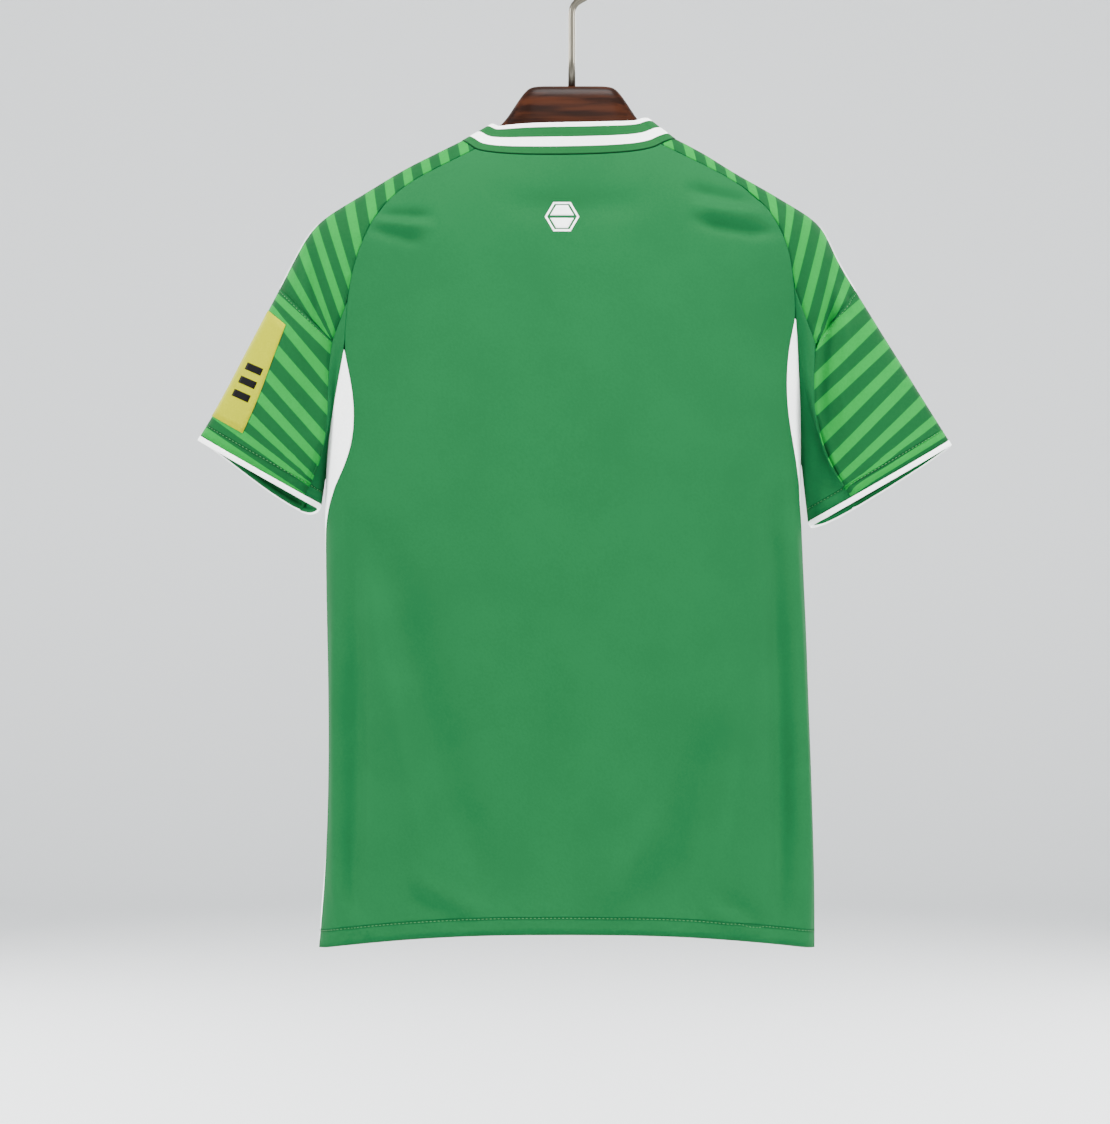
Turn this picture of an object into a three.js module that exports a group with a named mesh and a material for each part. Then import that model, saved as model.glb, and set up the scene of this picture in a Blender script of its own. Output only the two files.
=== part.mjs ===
// A knitted football jersey, seen from its back, hung on a wide wooden hanger with a steel hook.
// Millimetres, +Z up. The origin is the inside top of the hook, where a rail carries it.
// The garment's back faces -Y. The wearer's left sleeve is on the -X side.

import * as THREE from 'three';

// Driving sizes
const CLOTH_WALL = 1.3;
const RIB_WALL = 2.0;
const PATCH_WALL = 1.0;
const SEAM_GAP = 0.36;
const ARMHOLE_GAP = 0.8;
const COLLAR_GAP = 0.6;
const LAID_GAP = 0.35;
const HEM_RISE = 17;
const HEM_CURVE = 2.6;
const HEM_FADE = 3;
const NECK_CURVE = 2.2;
const HEM_CORNER_Z = -894;
const COLLAR_HEIGHT = 30;
const CUFF_HEIGHT = 5;
const BACK_NECK_DROP = 9;
const FRONT_NECK_DROP = 76;
const HOOK_INSIDE_RADIUS = 15;
const HOOK_WIRE_RADIUS = 3.3;

// Cells of the panels: down the raglan seam, past the gusset, down the side, and across
const RAGLAN_CELLS = 10;
const GUSSET_TOP_CELLS = 2;
const LENS_CELLS = 8;
const SIDE_CELLS = 15;
const BODY_CELLS = 18;
const SIDE_PANEL_CELLS = 14;
const SLEEVE_ROWS = 6;
const GUSSET_CUFF_CELLS = 6;
const GUSSET_CELLS = 3;
const COLLAR_ROWS = 3;

// The hung body at each level: centre and half width, half depths, and how square the slice is
const LEVELS = [
  { z: -140, centre: -2, half: 62, back: 24, front: 22, square: 2.1 },
  { z: -160, centre: -3, half: 97, back: 33, front: 31, square: 2.1 },
  { z: -186, centre: -5, half: 146, back: 43, front: 40, square: 2.2 },
  { z: -216, centre: -4, half: 197, back: 50, front: 46, square: 2.3 },
  { z: -250, centre: -4.5, half: 233, back: 55, front: 52, square: 2.4 },
  { z: -300, centre: -6, half: 224, back: 60, front: 60, square: 2.5 },
  { z: -352, centre: -7, half: 217, back: 64, front: 66, square: 2.5 },
  { z: -425, centre: -7, half: 215, back: 67, front: 70, square: 2.6 },
  { z: -495, centre: -8, half: 216, back: 68, front: 70, square: 2.6 },
  { z: -578, centre: -7, half: 216, back: 67, front: 68, square: 2.6 },
  { z: -642, centre: -5, half: 216, back: 65, front: 66, square: 2.6 },
  { z: -757, centre: -2.5, half: 218.5, back: 63, front: 63, square: 2.6 },
  { z: -842, centre: -2.5, half: 222.5, back: 62, front: 62, square: 2.6 },
  { z: -871, centre: -5.8, half: 226, back: 62, front: 62, square: 2.6 },
  { z: -900, centre: -4.7, half: 225, back: 62, front: 62, square: 2.6 },
];

// The raglan seam from the neck to the end of the striped shoulder panel
const RAGLAN = [
  { leftX: -87.6, leftZ: -170.7, rightX: 80.1, rightZ: -165.6 },
  { leftX: -110.3, leftZ: -182.1, rightX: 108, rightZ: -179.1 },
  { leftX: -133.2, leftZ: -193.5, rightX: 136.8, rightZ: -193.5 },
  { leftX: -153.3, leftZ: -206.1, rightX: 162.9, rightZ: -210.6 },
  { leftX: -176, leftZ: -228.9, rightX: 179.1, rightZ: -227.7 },
  { leftX: -188.6, leftZ: -254.1, rightX: 189.9, rightZ: -246.6 },
  { leftX: -197.5, leftZ: -279.4, rightX: 197.5, rightZ: -270 },
  { leftX: -202.5, leftZ: -309, rightX: 200.5, rightZ: -295 },
];

// The shoulder ridge from the neck to the seam across the sleeve
const RIDGE = [
  { leftX: -100.2, leftZ: -160.6, rightX: 94.5, rightZ: -158.9 },
  { leftX: -125.5, leftZ: -173.2, rightX: 121.1, rightZ: -172.8 },
  { leftX: -150.7, leftZ: -185.8, rightX: 147.6, rightZ: -189.9 },
  { leftX: -176, leftZ: -201, rightX: 173.7, rightZ: -204.3 },
  { leftX: -201.2, leftZ: -216.2, rightX: 200.3, rightZ: -220.1 },
  { leftX: -216.4, leftZ: -224.9, rightX: 221.4, rightZ: -233.1 },
  { leftX: -231.6, leftZ: -236.4, rightX: 232, rightZ: -246.6 },
  { leftX: -241.7, leftZ: -249, rightX: 238.5, rightZ: -263.7 },
  { leftX: -265.5, leftZ: -294.3, rightX: 258.3, rightZ: -296.7 },
];

// The tops of the white side panels on the back, the underarm points and the ends of the lenses
const UNDERARM = {
  crowding: 1.6,
  left: { apexZ: -351.6, underarmZ: -470, lensEndZ: -520, curve: 1.15 },
  right: { apexZ: -323.1, underarmZ: -458, lensEndZ: -500, curve: 1.5 },
};

// How far the side seams lie in from the garment's edge, on the back and on the front
const SIDE_SEAMS = [
  { z: -310, left: 17, right: 11, front: 14 },
  { z: -352, left: 18.7, right: 14.6, front: 18 },
  { z: -373, left: 22.5, right: 15.6, front: 20 },
  { z: -399, left: 26, right: 14.6, front: 21 },
  { z: -419, left: 26.3, right: 11.8, front: 21 },
  { z: -437, left: 24.3, right: 8.4, front: 19 },
  { z: -455, left: 19.2, right: 5, front: 17 },
  { z: -472, left: 11.5, right: 2.4, front: 15 },
  { z: -486, left: 4.6, right: 1, front: 14 },
  { z: -500, left: 1.6, right: 0.5, front: 13 },
  { z: -530, left: 0.3, right: 0.3, front: 13 },
  { z: -840, left: 0.3, right: 0.3, front: 11 },
  { z: -865, left: 1.6, right: 0.3, front: 11 },
  { z: -900, left: 0.4, right: 0.3, front: 11 },
];

// The lower sleeve: its outer edge, its seam to the gusset on the back, how far across the
// flat sleeve that seam lies, and half the sleeve's depth
const SLEEVES = {
  left: [
    { outerX: -265.5, outerZ: -294.3, seamX: -216.5, seamZ: -343.8, across: 0.8, half: 31 },
    { outerX: -283.5, outerZ: -328.5, seamX: -220.5, seamZ: -376, across: 0.8, half: 33 },
    { outerX: -302, outerZ: -363.5, seamX: -221, seamZ: -412, across: 0.82, half: 33 },
    { outerX: -320, outerZ: -398, seamX: -226.5, seamZ: -450, across: 0.84, half: 31 },
    { outerX: -338.4, outerZ: -428.4, seamX: -242, seamZ: -483, across: 0.86, half: 27 },
  ],
  right: [
    { outerX: 258.3, outerZ: -296.7, seamX: 220.5, seamZ: -346.5, across: 0.8, half: 31 },
    { outerX: 279.5, outerZ: -331.2, seamX: 218.7, seamZ: -376, across: 0.8, half: 33 },
    { outerX: 301, outerZ: -365, seamX: 219.5, seamZ: -410, across: 0.78, half: 33 },
    { outerX: 322, outerZ: -398.5, seamX: 228, seamZ: -448, across: 0.74, half: 31 },
    { outerX: 343.4, outerZ: -432.5, seamX: 252.5, seamZ: -485, across: 0.685, half: 27 },
  ],
};
const SLEEVE_SQUARE = 2.4;
const CUFF_DROP_FADE = 3;
const SHOULDER_BLEND_FROM = 0.4;

// The gusset's valley: its depth, and where it starts and ends between its seams and its middle
const GUSSET_VALLEY = { depth: 5, rise: [0, 0.3], fall: [0.55, 0.9] };
const ARMHOLE_FOLD_POWER = 0.35;
const CUFF_FRONT_DROP = { left: { outer: 0, inner: 17 }, right: { outer: 5, inner: 9 } };

// Where the columns of the shoulder panel and of the lower sleeve lie, from the ridge inwards
const ACROSS = [
  { shoulder: 0, sleeve: 0 },
  { shoulder: 0.1, sleeve: 0.015 },
  { shoulder: 0.22, sleeve: 0.06 },
  { shoulder: 0.36, sleeve: 0.16 },
  { shoulder: 0.52, sleeve: 0.31 },
  { shoulder: 0.68, sleeve: 0.5 },
  { shoulder: 0.84, sleeve: 0.74 },
  { shoulder: 1, sleeve: 1 },
];

// The largest soft folds: where each starts and ends, its half width and its depth
const FOLDS = [
  { face: 'back', x1: -162, z1: -545, x2: -66, z2: -860, width: 24, depth: 4.5 },
  { face: 'back', x1: 122, z1: -700, x2: 70, z2: -860, width: 22, depth: 4 },
  { face: 'back', x1: 186, z1: -560, x2: 188, z2: -890, width: 14, depth: 5 },
  { face: 'back', x1: -202, z1: -620, x2: -200, z2: -890, width: 14, depth: 4 },
  { face: 'front', x1: 150, z1: -520, x2: 84, z2: -850, width: 26, depth: 5 },
  { face: 'front', x1: -110, z1: -640, x2: -60, z2: -870, width: 22, depth: 4 },
  { face: 'front', x1: -188, z1: -560, x2: -176, z2: -890, width: 16, depth: 5 },
];

const FOLD_FADE = { rise: [-0.1, 0.3], fall: [0.85, 1.15], edge: 1.5 };

// The hanger's wood by distance from its middle: top, underside and half thickness
const HANGER = [
  { x: 0, top: -109, bottom: -168, half: 15 },
  { x: 20, top: -109, bottom: -169, half: 15 },
  { x: 36, top: -109, bottom: -172, half: 14.5 },
  { x: 42, top: -113, bottom: -174, half: 14 },
  { x: 52, top: -127, bottom: -178, half: 13 },
  { x: 62, top: -144, bottom: -184, half: 12.5 },
  { x: 80, top: -156, bottom: -194, half: 13 },
  { x: 100, top: -166, bottom: -204, half: 14 },
  { x: 130, top: -181, bottom: -217, half: 15.5 },
  { x: 165, top: -202.5, bottom: -235, half: 18 },
  { x: 200, top: -222.4, bottom: -250, half: 20.5 },
  { x: 214, top: -231, bottom: -255, half: 19.5 },
  { x: 223, top: -241, bottom: -255, half: 13 },
];
const HANGER_SIDES = 14;
const HANGER_SQUARE = 0.8;

// The hook's wire: its straight stem and short bend, then the turn over the rail in degrees
const HOOK_STEM = [
  { x: 0, z: -108.7 },
  { x: 0, z: -84 },
  { x: 0, z: -60 },
  { x: 0, z: -46 },
  { x: 0.7, z: -39 },
  { x: 4.2, z: -33.4 },
];
const HOOK_TURN = { from: -50, to: 216, step: 19 };
const HOOK_SIDES = 10;
const HOOK_STEPS = 44;

const smoothstep = (low, high, value) => {
  const t = THREE.MathUtils.clamp((value - low) / (high - low), 0, 1);
  return t * t * (3 - 2 * t);
};

// Reads a column of a table at a place between its rows, on a smooth curve
function readTable(table, key, column, at) {
  const rising = table[table.length - 1][key] > table[0][key];
  const sign = rising ? 1 : -1;
  let i = 0;
  while (i < table.length - 2 && sign * at > sign * table[i + 1][key]) {
    i += 1;
  }
  const slope = (a, b) => (table[b][column] - table[a][column]) / (table[b][key] - table[a][key]);
  const tangent = (k) => {
    if (k === 0 || k === table.length - 1) {
      return 0;
    }
    const before = slope(k - 1, k);
    const after = slope(k, k + 1);
    return before * after <= 0 ? 0 : (2 * before * after) / (before + after);
  };
  const step = table[i + 1][key] - table[i][key];
  const t = THREE.MathUtils.clamp((at - table[i][key]) / step, 0, 1);
  const a = table[i][column];
  const b = table[i + 1][column];
  return a * (2 * t ** 3 - 3 * t ** 2 + 1) + b * (3 * t ** 2 - 2 * t ** 3)
    + step * (tangent(i) * (t ** 3 - 2 * t ** 2 + t) + tangent(i + 1) * (t ** 3 - t ** 2));
}

const level = (z, column) => readTable(LEVELS, 'z', column, z);

const raise = (value, power) => Math.sign(value) * Math.abs(value) ** power;

// How deep the soft folds press in at a point of the back or the front
function foldDepth(x, z, face) {
  let depth = 0;
  for (const fold of FOLDS.filter((row) => row.face === face)) {
    const along = new THREE.Vector2(fold.x2 - fold.x1, fold.z2 - fold.z1);
    const length = along.length();
    along.normalize();
    const away = new THREE.Vector2(x - fold.x1, z - fold.z1);
    const reach = away.dot(along) / length;
    const side = away.cross(along);
    const fade = smoothstep(...FOLD_FADE.rise, reach) * (1 - smoothstep(...FOLD_FADE.fall, reach));
    depth += fold.depth * fade * Math.exp(-((side / fold.width) ** 2));
  }
  return depth;
}

// A point of the body's slice: 0 is the right edge, a quarter turn the middle of the back
function bodyPoint(z, angle) {
  const square = level(z, 'square');
  const x = level(z, 'centre') + level(z, 'half') * raise(Math.cos(angle), 2 / square);
  const face = Math.sin(angle) >= 0 ? 'back' : 'front';
  const rise = Math.abs(raise(Math.sin(angle), 2 / square));
  const depth = level(z, face) * rise - foldDepth(x, z, face) * Math.min(1, rise * FOLD_FADE.edge);
  return new THREE.Vector3(x, face === 'back' ? -depth : depth, z);
}

// The angle of a place on the body's slice, given its x
function angleAt(x, z, face) {
  const ratio = THREE.MathUtils.clamp((x - level(z, 'centre')) / level(z, 'half'), -1, 1);
  const angle = Math.acos(raise(ratio, level(z, 'square') / 2));
  return face === 'back' ? angle : 2 * Math.PI - angle;
}

// The angle of a place that lies a given distance in from the body's edge
function angleInset(inset, z, side, face) {
  const ratio = 1 - Math.abs(inset) / level(z, 'half');
  const turn = Math.acos(ratio ** (level(z, 'square') / 2)) * (face === 'back' ? 1 : -1);
  return side === 'right' ? turn : Math.PI - turn;
}

function outline(table, side) {
  return new THREE.SplineCurve(table.map((row) => new THREE.Vector2(row[`${side}X`], row[`${side}Z`])));
}
const RAGLAN_CURVES = { left: outline(RAGLAN, 'left'), right: outline(RAGLAN, 'right') };
const RIDGE_CURVES = { left: outline(RIDGE, 'left'), right: outline(RIDGE, 'right') };

// The long edge of the front or back panel, row by row: its level and its angle
function panelEdge(side, face, row) {
  if (row <= RAGLAN_CELLS) {
    const place = RAGLAN_CURVES[side].getPointAt(row / RAGLAN_CELLS);
    return { z: place.y, angle: angleAt(place.x, place.y, face) };
  }
  const below = row - RAGLAN_CELLS;
  if (below < GUSSET_TOP_CELLS) {
    const end = RAGLAN_CURVES[side].getPointAt(1);
    const apexZ = sideLevel(side, 0);
    const t = below / GUSSET_TOP_CELLS;
    const from = angleAt(end.x, end.y, face);
    const to = sideSeamAngle(side, face, apexZ);
    const turn = side === 'right' && face === 'front' ? 2 * Math.PI : 0;
    return { z: THREE.MathUtils.lerp(end.y, apexZ, t), angle: THREE.MathUtils.lerp(from, to + turn, t) };
  }
  const z = sideLevel(side, below - GUSSET_TOP_CELLS);
  return { z, angle: sideSeamAngle(side, face, z) };
}

// The level of each row of the side seams, from the top of the armhole to the hem
function sideLevel(side, row) {
  const arm = UNDERARM[side];
  return row <= LENS_CELLS
    ? THREE.MathUtils.lerp(arm.apexZ, arm.lensEndZ, row / LENS_CELLS)
    : THREE.MathUtils.lerp(arm.lensEndZ, HEM_CORNER_Z, (row - LENS_CELLS) / (SIDE_CELLS - LENS_CELLS));
}

// How far the hem's curve lifts a point: most at the middle of the hem, nothing at the sides
function hemLift(z, angle, row) {
  const aside = Math.abs(bodyPoint(z, angle).x - level(z, 'centre')) / level(z, 'half');
  const share = Math.max(0, row / (GUSSET_TOP_CELLS + SIDE_CELLS)) ** HEM_FADE;
  return HEM_RISE * share * (1 - aside ** HEM_CURVE);
}

// A point of the front or back panel, by row from the neck and by share of the way across
function panelPoint(face, row, across) {
  const left = panelEdge('left', face, row);
  const right = panelEdge('right', face, row);
  const rightAngle = right.angle + (face === 'front' && right.angle < Math.PI / 2 ? 2 * Math.PI : 0);
  const neck = face === 'back' ? BACK_NECK_DROP : FRONT_NECK_DROP;
  const neckShare = Math.max(0, 1 - row / RAGLAN_CELLS);
  const angle = THREE.MathUtils.lerp(left.angle, rightAngle, across);
  const z = THREE.MathUtils.lerp(left.z, right.z, across)
    - neck * neckShare * (1 - Math.abs(2 * across - 1) ** NECK_CURVE);
  return bodyPoint(z + hemLift(z, angle, row - RAGLAN_CELLS), angle);
}

// The angle of the side panel's seam to the back or the front panel at a level
function sideSeamAngle(side, face, z) {
  const inset = readTable(SIDE_SEAMS, 'z', face === 'back' ? side : 'front', z);
  return angleInset(inset, z, side, face);
}

// A point of the side panel, by row from the armhole and by share of the way from back to front
function sidePoint(side, row, across) {
  const face = across <= 0.5 ? 'back' : 'front';
  const arm = UNDERARM[side];
  const down = (sideLevel(side, row) - arm.apexZ) / (HEM_CORNER_Z - arm.apexZ);
  const outward = 1 - Math.abs(2 * across - 1) ** UNDERARM.crowding;
  const top = arm.apexZ - outward ** arm.curve * (arm.apexZ - arm.underarmZ);
  const z = THREE.MathUtils.lerp(top, HEM_CORNER_Z, down);
  const edge = side === 'left' ? Math.PI : 0;
  const angle = THREE.MathUtils.lerp(sideSeamAngle(side, face, z), edge, outward);
  return bodyPoint(z + hemLift(z, angle, GUSSET_TOP_CELLS + row), angle);
}

// The lower sleeve's outline at a share of the way from the cross seam to the cuff
function sleeveRow(side, share) {
  const table = SLEEVES[side].map((row, i, all) => ({ ...row, share: i / (all.length - 1) }));
  const read = (column) => readTable(table, 'share', column, share);
  const outer = new THREE.Vector3(read('outerX'), 0, read('outerZ'));
  const seam = new THREE.Vector3(read('seamX'), 0, read('seamZ'));
  const across = read('across');
  const inner = outer.clone().lerp(seam, 1 / across);
  return { outer, inner, across, half: read('half') };
}

// A point round the sleeve: 0 is the outer edge, 1 the inner one, on the back or the front
function sleevePoint(side, share, across, face) {
  const row = sleeveRow(side, share);
  const place = row.outer.clone().lerp(row.inner, across);
  const rise = (1 - Math.abs(1 - 2 * across) ** SLEEVE_SQUARE) ** (1 / SLEEVE_SQUARE);
  place.y = row.half * rise * (face === 'back' ? -1 : 1);
  if (face === 'front') {
    const drop = CUFF_FRONT_DROP[side];
    const length = THREE.MathUtils.lerp(drop.outer, drop.inner, across) * rise * share ** CUFF_DROP_FADE;
    place.addScaledVector(sleeveFall(side), length);
  }
  return place;
}

// The direction in which the sleeve runs out of its cuff
function sleeveFall(side) {
  const cuff = sleeveRow(side, 1);
  const line = cuff.inner.clone().sub(cuff.outer).normalize();
  return side === 'left'
    ? new THREE.Vector3(line.z, 0, -line.x)
    : new THREE.Vector3(-line.z, 0, line.x);
}

// The columns of the shoulder panel and of the lower sleeve, from the back seam to the front one
const HALF_ACROSS = ACROSS.length - 1;
const SLEEVE_COLUMNS = 2 * HALF_ACROSS;
const SHOULDER_ROWS = RAGLAN_CELLS + GUSSET_CELLS;
function sleeveColumn(column) {
  const fromMiddle = column - HALF_ACROSS;
  return { face: fromMiddle <= 0 ? 'back' : 'front', ...ACROSS[Math.abs(fromMiddle)] };
}

function sleeveColumnPoint(side, share, column) {
  const { face, sleeve } = sleeveColumn(column);
  return sleevePoint(side, share, sleeve * sleeveRow(side, share).across, face);
}

// The long edge of the shoulder panel: the raglan seam, then the short seam to the gusset
function shoulderEdge(side, row, face) {
  const edge = panelEdge(side, face, Math.min(row, RAGLAN_CELLS));
  const past = Math.max(0, row - RAGLAN_CELLS) / GUSSET_CELLS;
  const corner = sleevePoint(side, 0, sleeveRow(side, 0).across, face);
  return bodyPoint(edge.z, edge.angle).lerp(corner, past);
}

// A point of the shoulder panel: an arc from the back seam over the ridge to the front seam,
// drawn towards the cross seam near its end
function shoulderArc(side, row, column) {
  const { face, shoulder } = sleeveColumn(column);
  const ridge = RIDGE_CURVES[side].getPointAt(row / SHOULDER_ROWS);
  const seam = shoulderEdge(side, row, face);
  const turn = shoulder * Math.PI / 2;
  return new THREE.Vector3(
    THREE.MathUtils.lerp(ridge.x, seam.x, 1 - Math.cos(turn)),
    seam.y * Math.sin(turn),
    THREE.MathUtils.lerp(ridge.y, seam.z, 1 - Math.cos(turn)),
  );
}

function shoulderPoint(side, row, column) {
  const blend = smoothstep(SHOULDER_BLEND_FROM, 1, row / SHOULDER_ROWS);
  const shift = sleeveColumnPoint(side, 0, column).sub(shoulderArc(side, SHOULDER_ROWS, column));
  return shoulderArc(side, row, column).addScaledVector(shift, blend);
}

// The gusset lies between the armhole and the seam to the sleeve, with the cuff in its middle
const GUSSET_COLUMNS = 2 * GUSSET_TOP_CELLS + SIDE_PANEL_CELLS;
function armholePoint(side, column) {
  if (column < GUSSET_TOP_CELLS) {
    const edge = panelEdge(side, 'back', RAGLAN_CELLS + column);
    return bodyPoint(edge.z, edge.angle);
  }
  if (column > GUSSET_COLUMNS - GUSSET_TOP_CELLS) {
    const edge = panelEdge(side, 'front', RAGLAN_CELLS + GUSSET_COLUMNS - column);
    return bodyPoint(edge.z, edge.angle);
  }
  const across = (column - GUSSET_TOP_CELLS) / SIDE_PANEL_CELLS;
  const point = sidePoint(side, 0, across);
  const fold = (1 - Math.abs(2 * across - 1)) ** ARMHOLE_FOLD_POWER;
  point.x += (side === 'left' ? -1 : 1) * fold * (CLOTH_WALL + 2 * SEAM_GAP);
  return point;
}

function cuffEdgePoint(side, column) {
  const share = column / GUSSET_CUFF_CELLS;
  const start = sleeveRow(side, 1).across;
  const across = start + (1 - start) * (1 - Math.abs(2 * share - 1));
  return sleevePoint(side, 1, across, share <= 0.5 ? 'back' : 'front');
}

function gussetLowerPoint(side, column) {
  if (column <= SLEEVE_ROWS) {
    const share = column / SLEEVE_ROWS;
    return sleevePoint(side, share, sleeveRow(side, share).across, 'back');
  }
  if (column >= GUSSET_COLUMNS - SLEEVE_ROWS) {
    const share = (GUSSET_COLUMNS - column) / SLEEVE_ROWS;
    return sleevePoint(side, share, sleeveRow(side, share).across, 'front');
  }
  return cuffEdgePoint(side, column - SLEEVE_ROWS);
}

function gussetPoint(side, row, column) {
  const t = row / GUSSET_CELLS;
  const point = armholePoint(side, column).lerp(gussetLowerPoint(side, column), t);
  const middle = 1 - Math.abs(2 * column / GUSSET_COLUMNS - 1);
  const near = smoothstep(...GUSSET_VALLEY.rise, middle) * (1 - smoothstep(...GUSSET_VALLEY.fall, middle));
  const inwards = column < GUSSET_COLUMNS / 2 ? 1 : -1;
  point.y += inwards * GUSSET_VALLEY.depth * Math.sin(Math.PI * t) * near;
  return point;
}

// A grid of middle points, its edges drawn in by half a seam, and the way out at each
function layGrid(rows, columns, pointAt, options = {}) {
  const { flip = false, ring = false, draw = {} } = options;
  const width = ring ? columns : columns + 1;
  const points = [];
  for (let i = 0; i <= rows; i += 1) {
    points.push([]);
    for (let j = 0; j < width; j += 1) {
      points[i].push(pointAt(i, j));
    }
  }
  const wrap = (j) => (ring ? (j + width) % width : THREE.MathUtils.clamp(j, 0, width - 1));
  const held = (i) => THREE.MathUtils.clamp(i, 0, rows);
  const normals = points.map((line, i) => line.map((_, j) => {
    const down = points[held(i + 1)][j].clone().sub(points[held(i - 1)][j]);
    const over = points[i][wrap(j + 1)].clone().sub(points[i][wrap(j - 1)]);
    return down.cross(over).normalize().multiplyScalar(flip ? -1 : 1);
  }));
  const seats = points.map((line) => line.map((point) => point.clone()));
  const { top = SEAM_GAP / 2, bottom = SEAM_GAP / 2, left = SEAM_GAP / 2, right = SEAM_GAP / 2 } = draw;
  const pull = (point, towards, distance) => {
    const away = towards.clone().sub(point);
    point.addScaledVector(away.normalize(), distance);
  };
  for (let j = 0; j < width; j += 1) {
    pull(points[0][j], points[1][j], top);
    pull(points[rows][j], points[rows - 1][j], bottom);
  }
  if (!ring) {
    for (let i = 0; i <= rows; i += 1) {
      pull(points[i][0], points[i][1], left);
      pull(points[i][width - 1], points[i][width - 2], right);
    }
  }
  return { points, normals, ring, seats };
}

// Panels that meet share one way out along their seam, so that both walls are cut to one mitre
function shareSeams(grids) {
  const shared = new Map();
  const eachEdge = (grid, act) => grid.seats.forEach((line, i) => line.forEach((seat, j) => {
    const inRow = i > 0 && i < grid.seats.length - 1;
    const inColumn = grid.ring || (j > 0 && j < line.length - 1);
    if (!inRow || !inColumn) {
      act(seat.toArray().map((value) => Math.round(value * 100)).join(), i, j);
    }
  }));
  for (const grid of grids) {
    eachEdge(grid, (key, i, j) => {
      const sum = shared.get(key) || new THREE.Vector3();
      shared.set(key, sum.add(grid.normals[i][j]));
    });
  }
  for (const grid of grids) {
    eachEdge(grid, (key, i, j) => {
      grid.normals[i][j] = shared.get(key).clone().normalize();
    });
  }
}

// A closed wall through a grid, from one distance to another along the way out
function wallGeometry({ points, normals, ring }, from, to) {
  const rows = points.length;
  const width = points[0].length;
  const position = [];
  for (const distance of [to, from]) {
    for (let i = 0; i < rows; i += 1) {
      for (let j = 0; j < width; j += 1) {
        const place = points[i][j].clone().addScaledVector(normals[i][j], distance);
        position.push(place.x, place.y, place.z);
      }
    }
  }
  const outer = (i, j) => i * width + (j % width);
  const inner = (i, j) => rows * width + outer(i, j);
  const index = [];
  const quad = (a, b, c, d) => index.push(a, b, c, a, c, d);
  const across = ring ? width : width - 1;
  for (let i = 0; i < rows - 1; i += 1) {
    for (let j = 0; j < across; j += 1) {
      quad(outer(i, j), outer(i + 1, j), outer(i + 1, j + 1), outer(i, j + 1));
      quad(inner(i, j), inner(i, j + 1), inner(i + 1, j + 1), inner(i + 1, j));
    }
  }
  for (let j = 0; j < across; j += 1) {
    quad(outer(0, j), outer(0, j + 1), inner(0, j + 1), inner(0, j));
    quad(outer(rows - 1, j + 1), outer(rows - 1, j), inner(rows - 1, j), inner(rows - 1, j + 1));
  }
  if (!ring) {
    for (let i = 0; i < rows - 1; i += 1) {
      quad(outer(i + 1, 0), outer(i, 0), inner(i, 0), inner(i + 1, 0));
      quad(outer(i, across), outer(i + 1, across), inner(i + 1, across), inner(i, across));
    }
  }
  const geometry = new THREE.BufferGeometry();
  geometry.setAttribute('position', new THREE.Float32BufferAttribute(position, 3));
  geometry.setIndex(index);
  return geometry;
}

// Turns a geometry's faces round if they point into it
function facingOut(geometry) {
  const position = geometry.attributes.position;
  const index = geometry.index.array;
  const corner = [new THREE.Vector3(), new THREE.Vector3(), new THREE.Vector3()];
  let volume = 0;
  for (let i = 0; i < index.length; i += 3) {
    corner.forEach((v, k) => v.fromBufferAttribute(position, index[i + k]));
    volume += corner[0].dot(corner[1].clone().cross(corner[2]));
  }
  if (volume < 0) {
    for (let i = 0; i < index.length; i += 3) {
      [index[i + 1], index[i + 2]] = [index[i + 2], index[i + 1]];
    }
  }
  geometry.computeVertexNormals();
  return geometry;
}

const MATERIALS = {
  body: new THREE.MeshStandardMaterial({ color: '#3f965a', roughness: 0.8, metalness: 0 }),
  stripes: new THREE.MeshStandardMaterial({ color: '#45a85c', roughness: 0.8, metalness: 0 }),
  white: new THREE.MeshStandardMaterial({ color: '#f4f8f6', roughness: 0.8, metalness: 0 }),
  rib: new THREE.MeshStandardMaterial({ color: '#3c8e54', roughness: 0.85, metalness: 0 }),
  patch: new THREE.MeshStandardMaterial({ color: '#fff92b', roughness: 0.5, metalness: 0 }),
  wood: new THREE.MeshStandardMaterial({ color: '#5b2f1e', roughness: 0.35, metalness: 0 }),
  steel: new THREE.MeshStandardMaterial({ color: '#b5b1a3', roughness: 0.3, metalness: 1 }),
};

const jersey = new THREE.Group();
function addPiece(name, geometry, material) {
  const mesh = new THREE.Mesh(facingOut(geometry), material);
  mesh.name = name;
  jersey.add(mesh);
}

const SIDES = ['left', 'right'];
const BODY_ROWS = RAGLAN_CELLS + GUSSET_TOP_CELLS + SIDE_CELLS;
const CUFF_COLUMNS = SLEEVE_COLUMNS + GUSSET_CUFF_CELLS;

// Back and front panels
const panels = {};
for (const face of ['back', 'front']) {
  panels[`${face}_panel`] = layGrid(
    BODY_ROWS,
    BODY_CELLS,
    (i, j) => panelPoint(face, i, j / BODY_CELLS),
    { flip: face === 'front' },
  );
}

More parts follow.
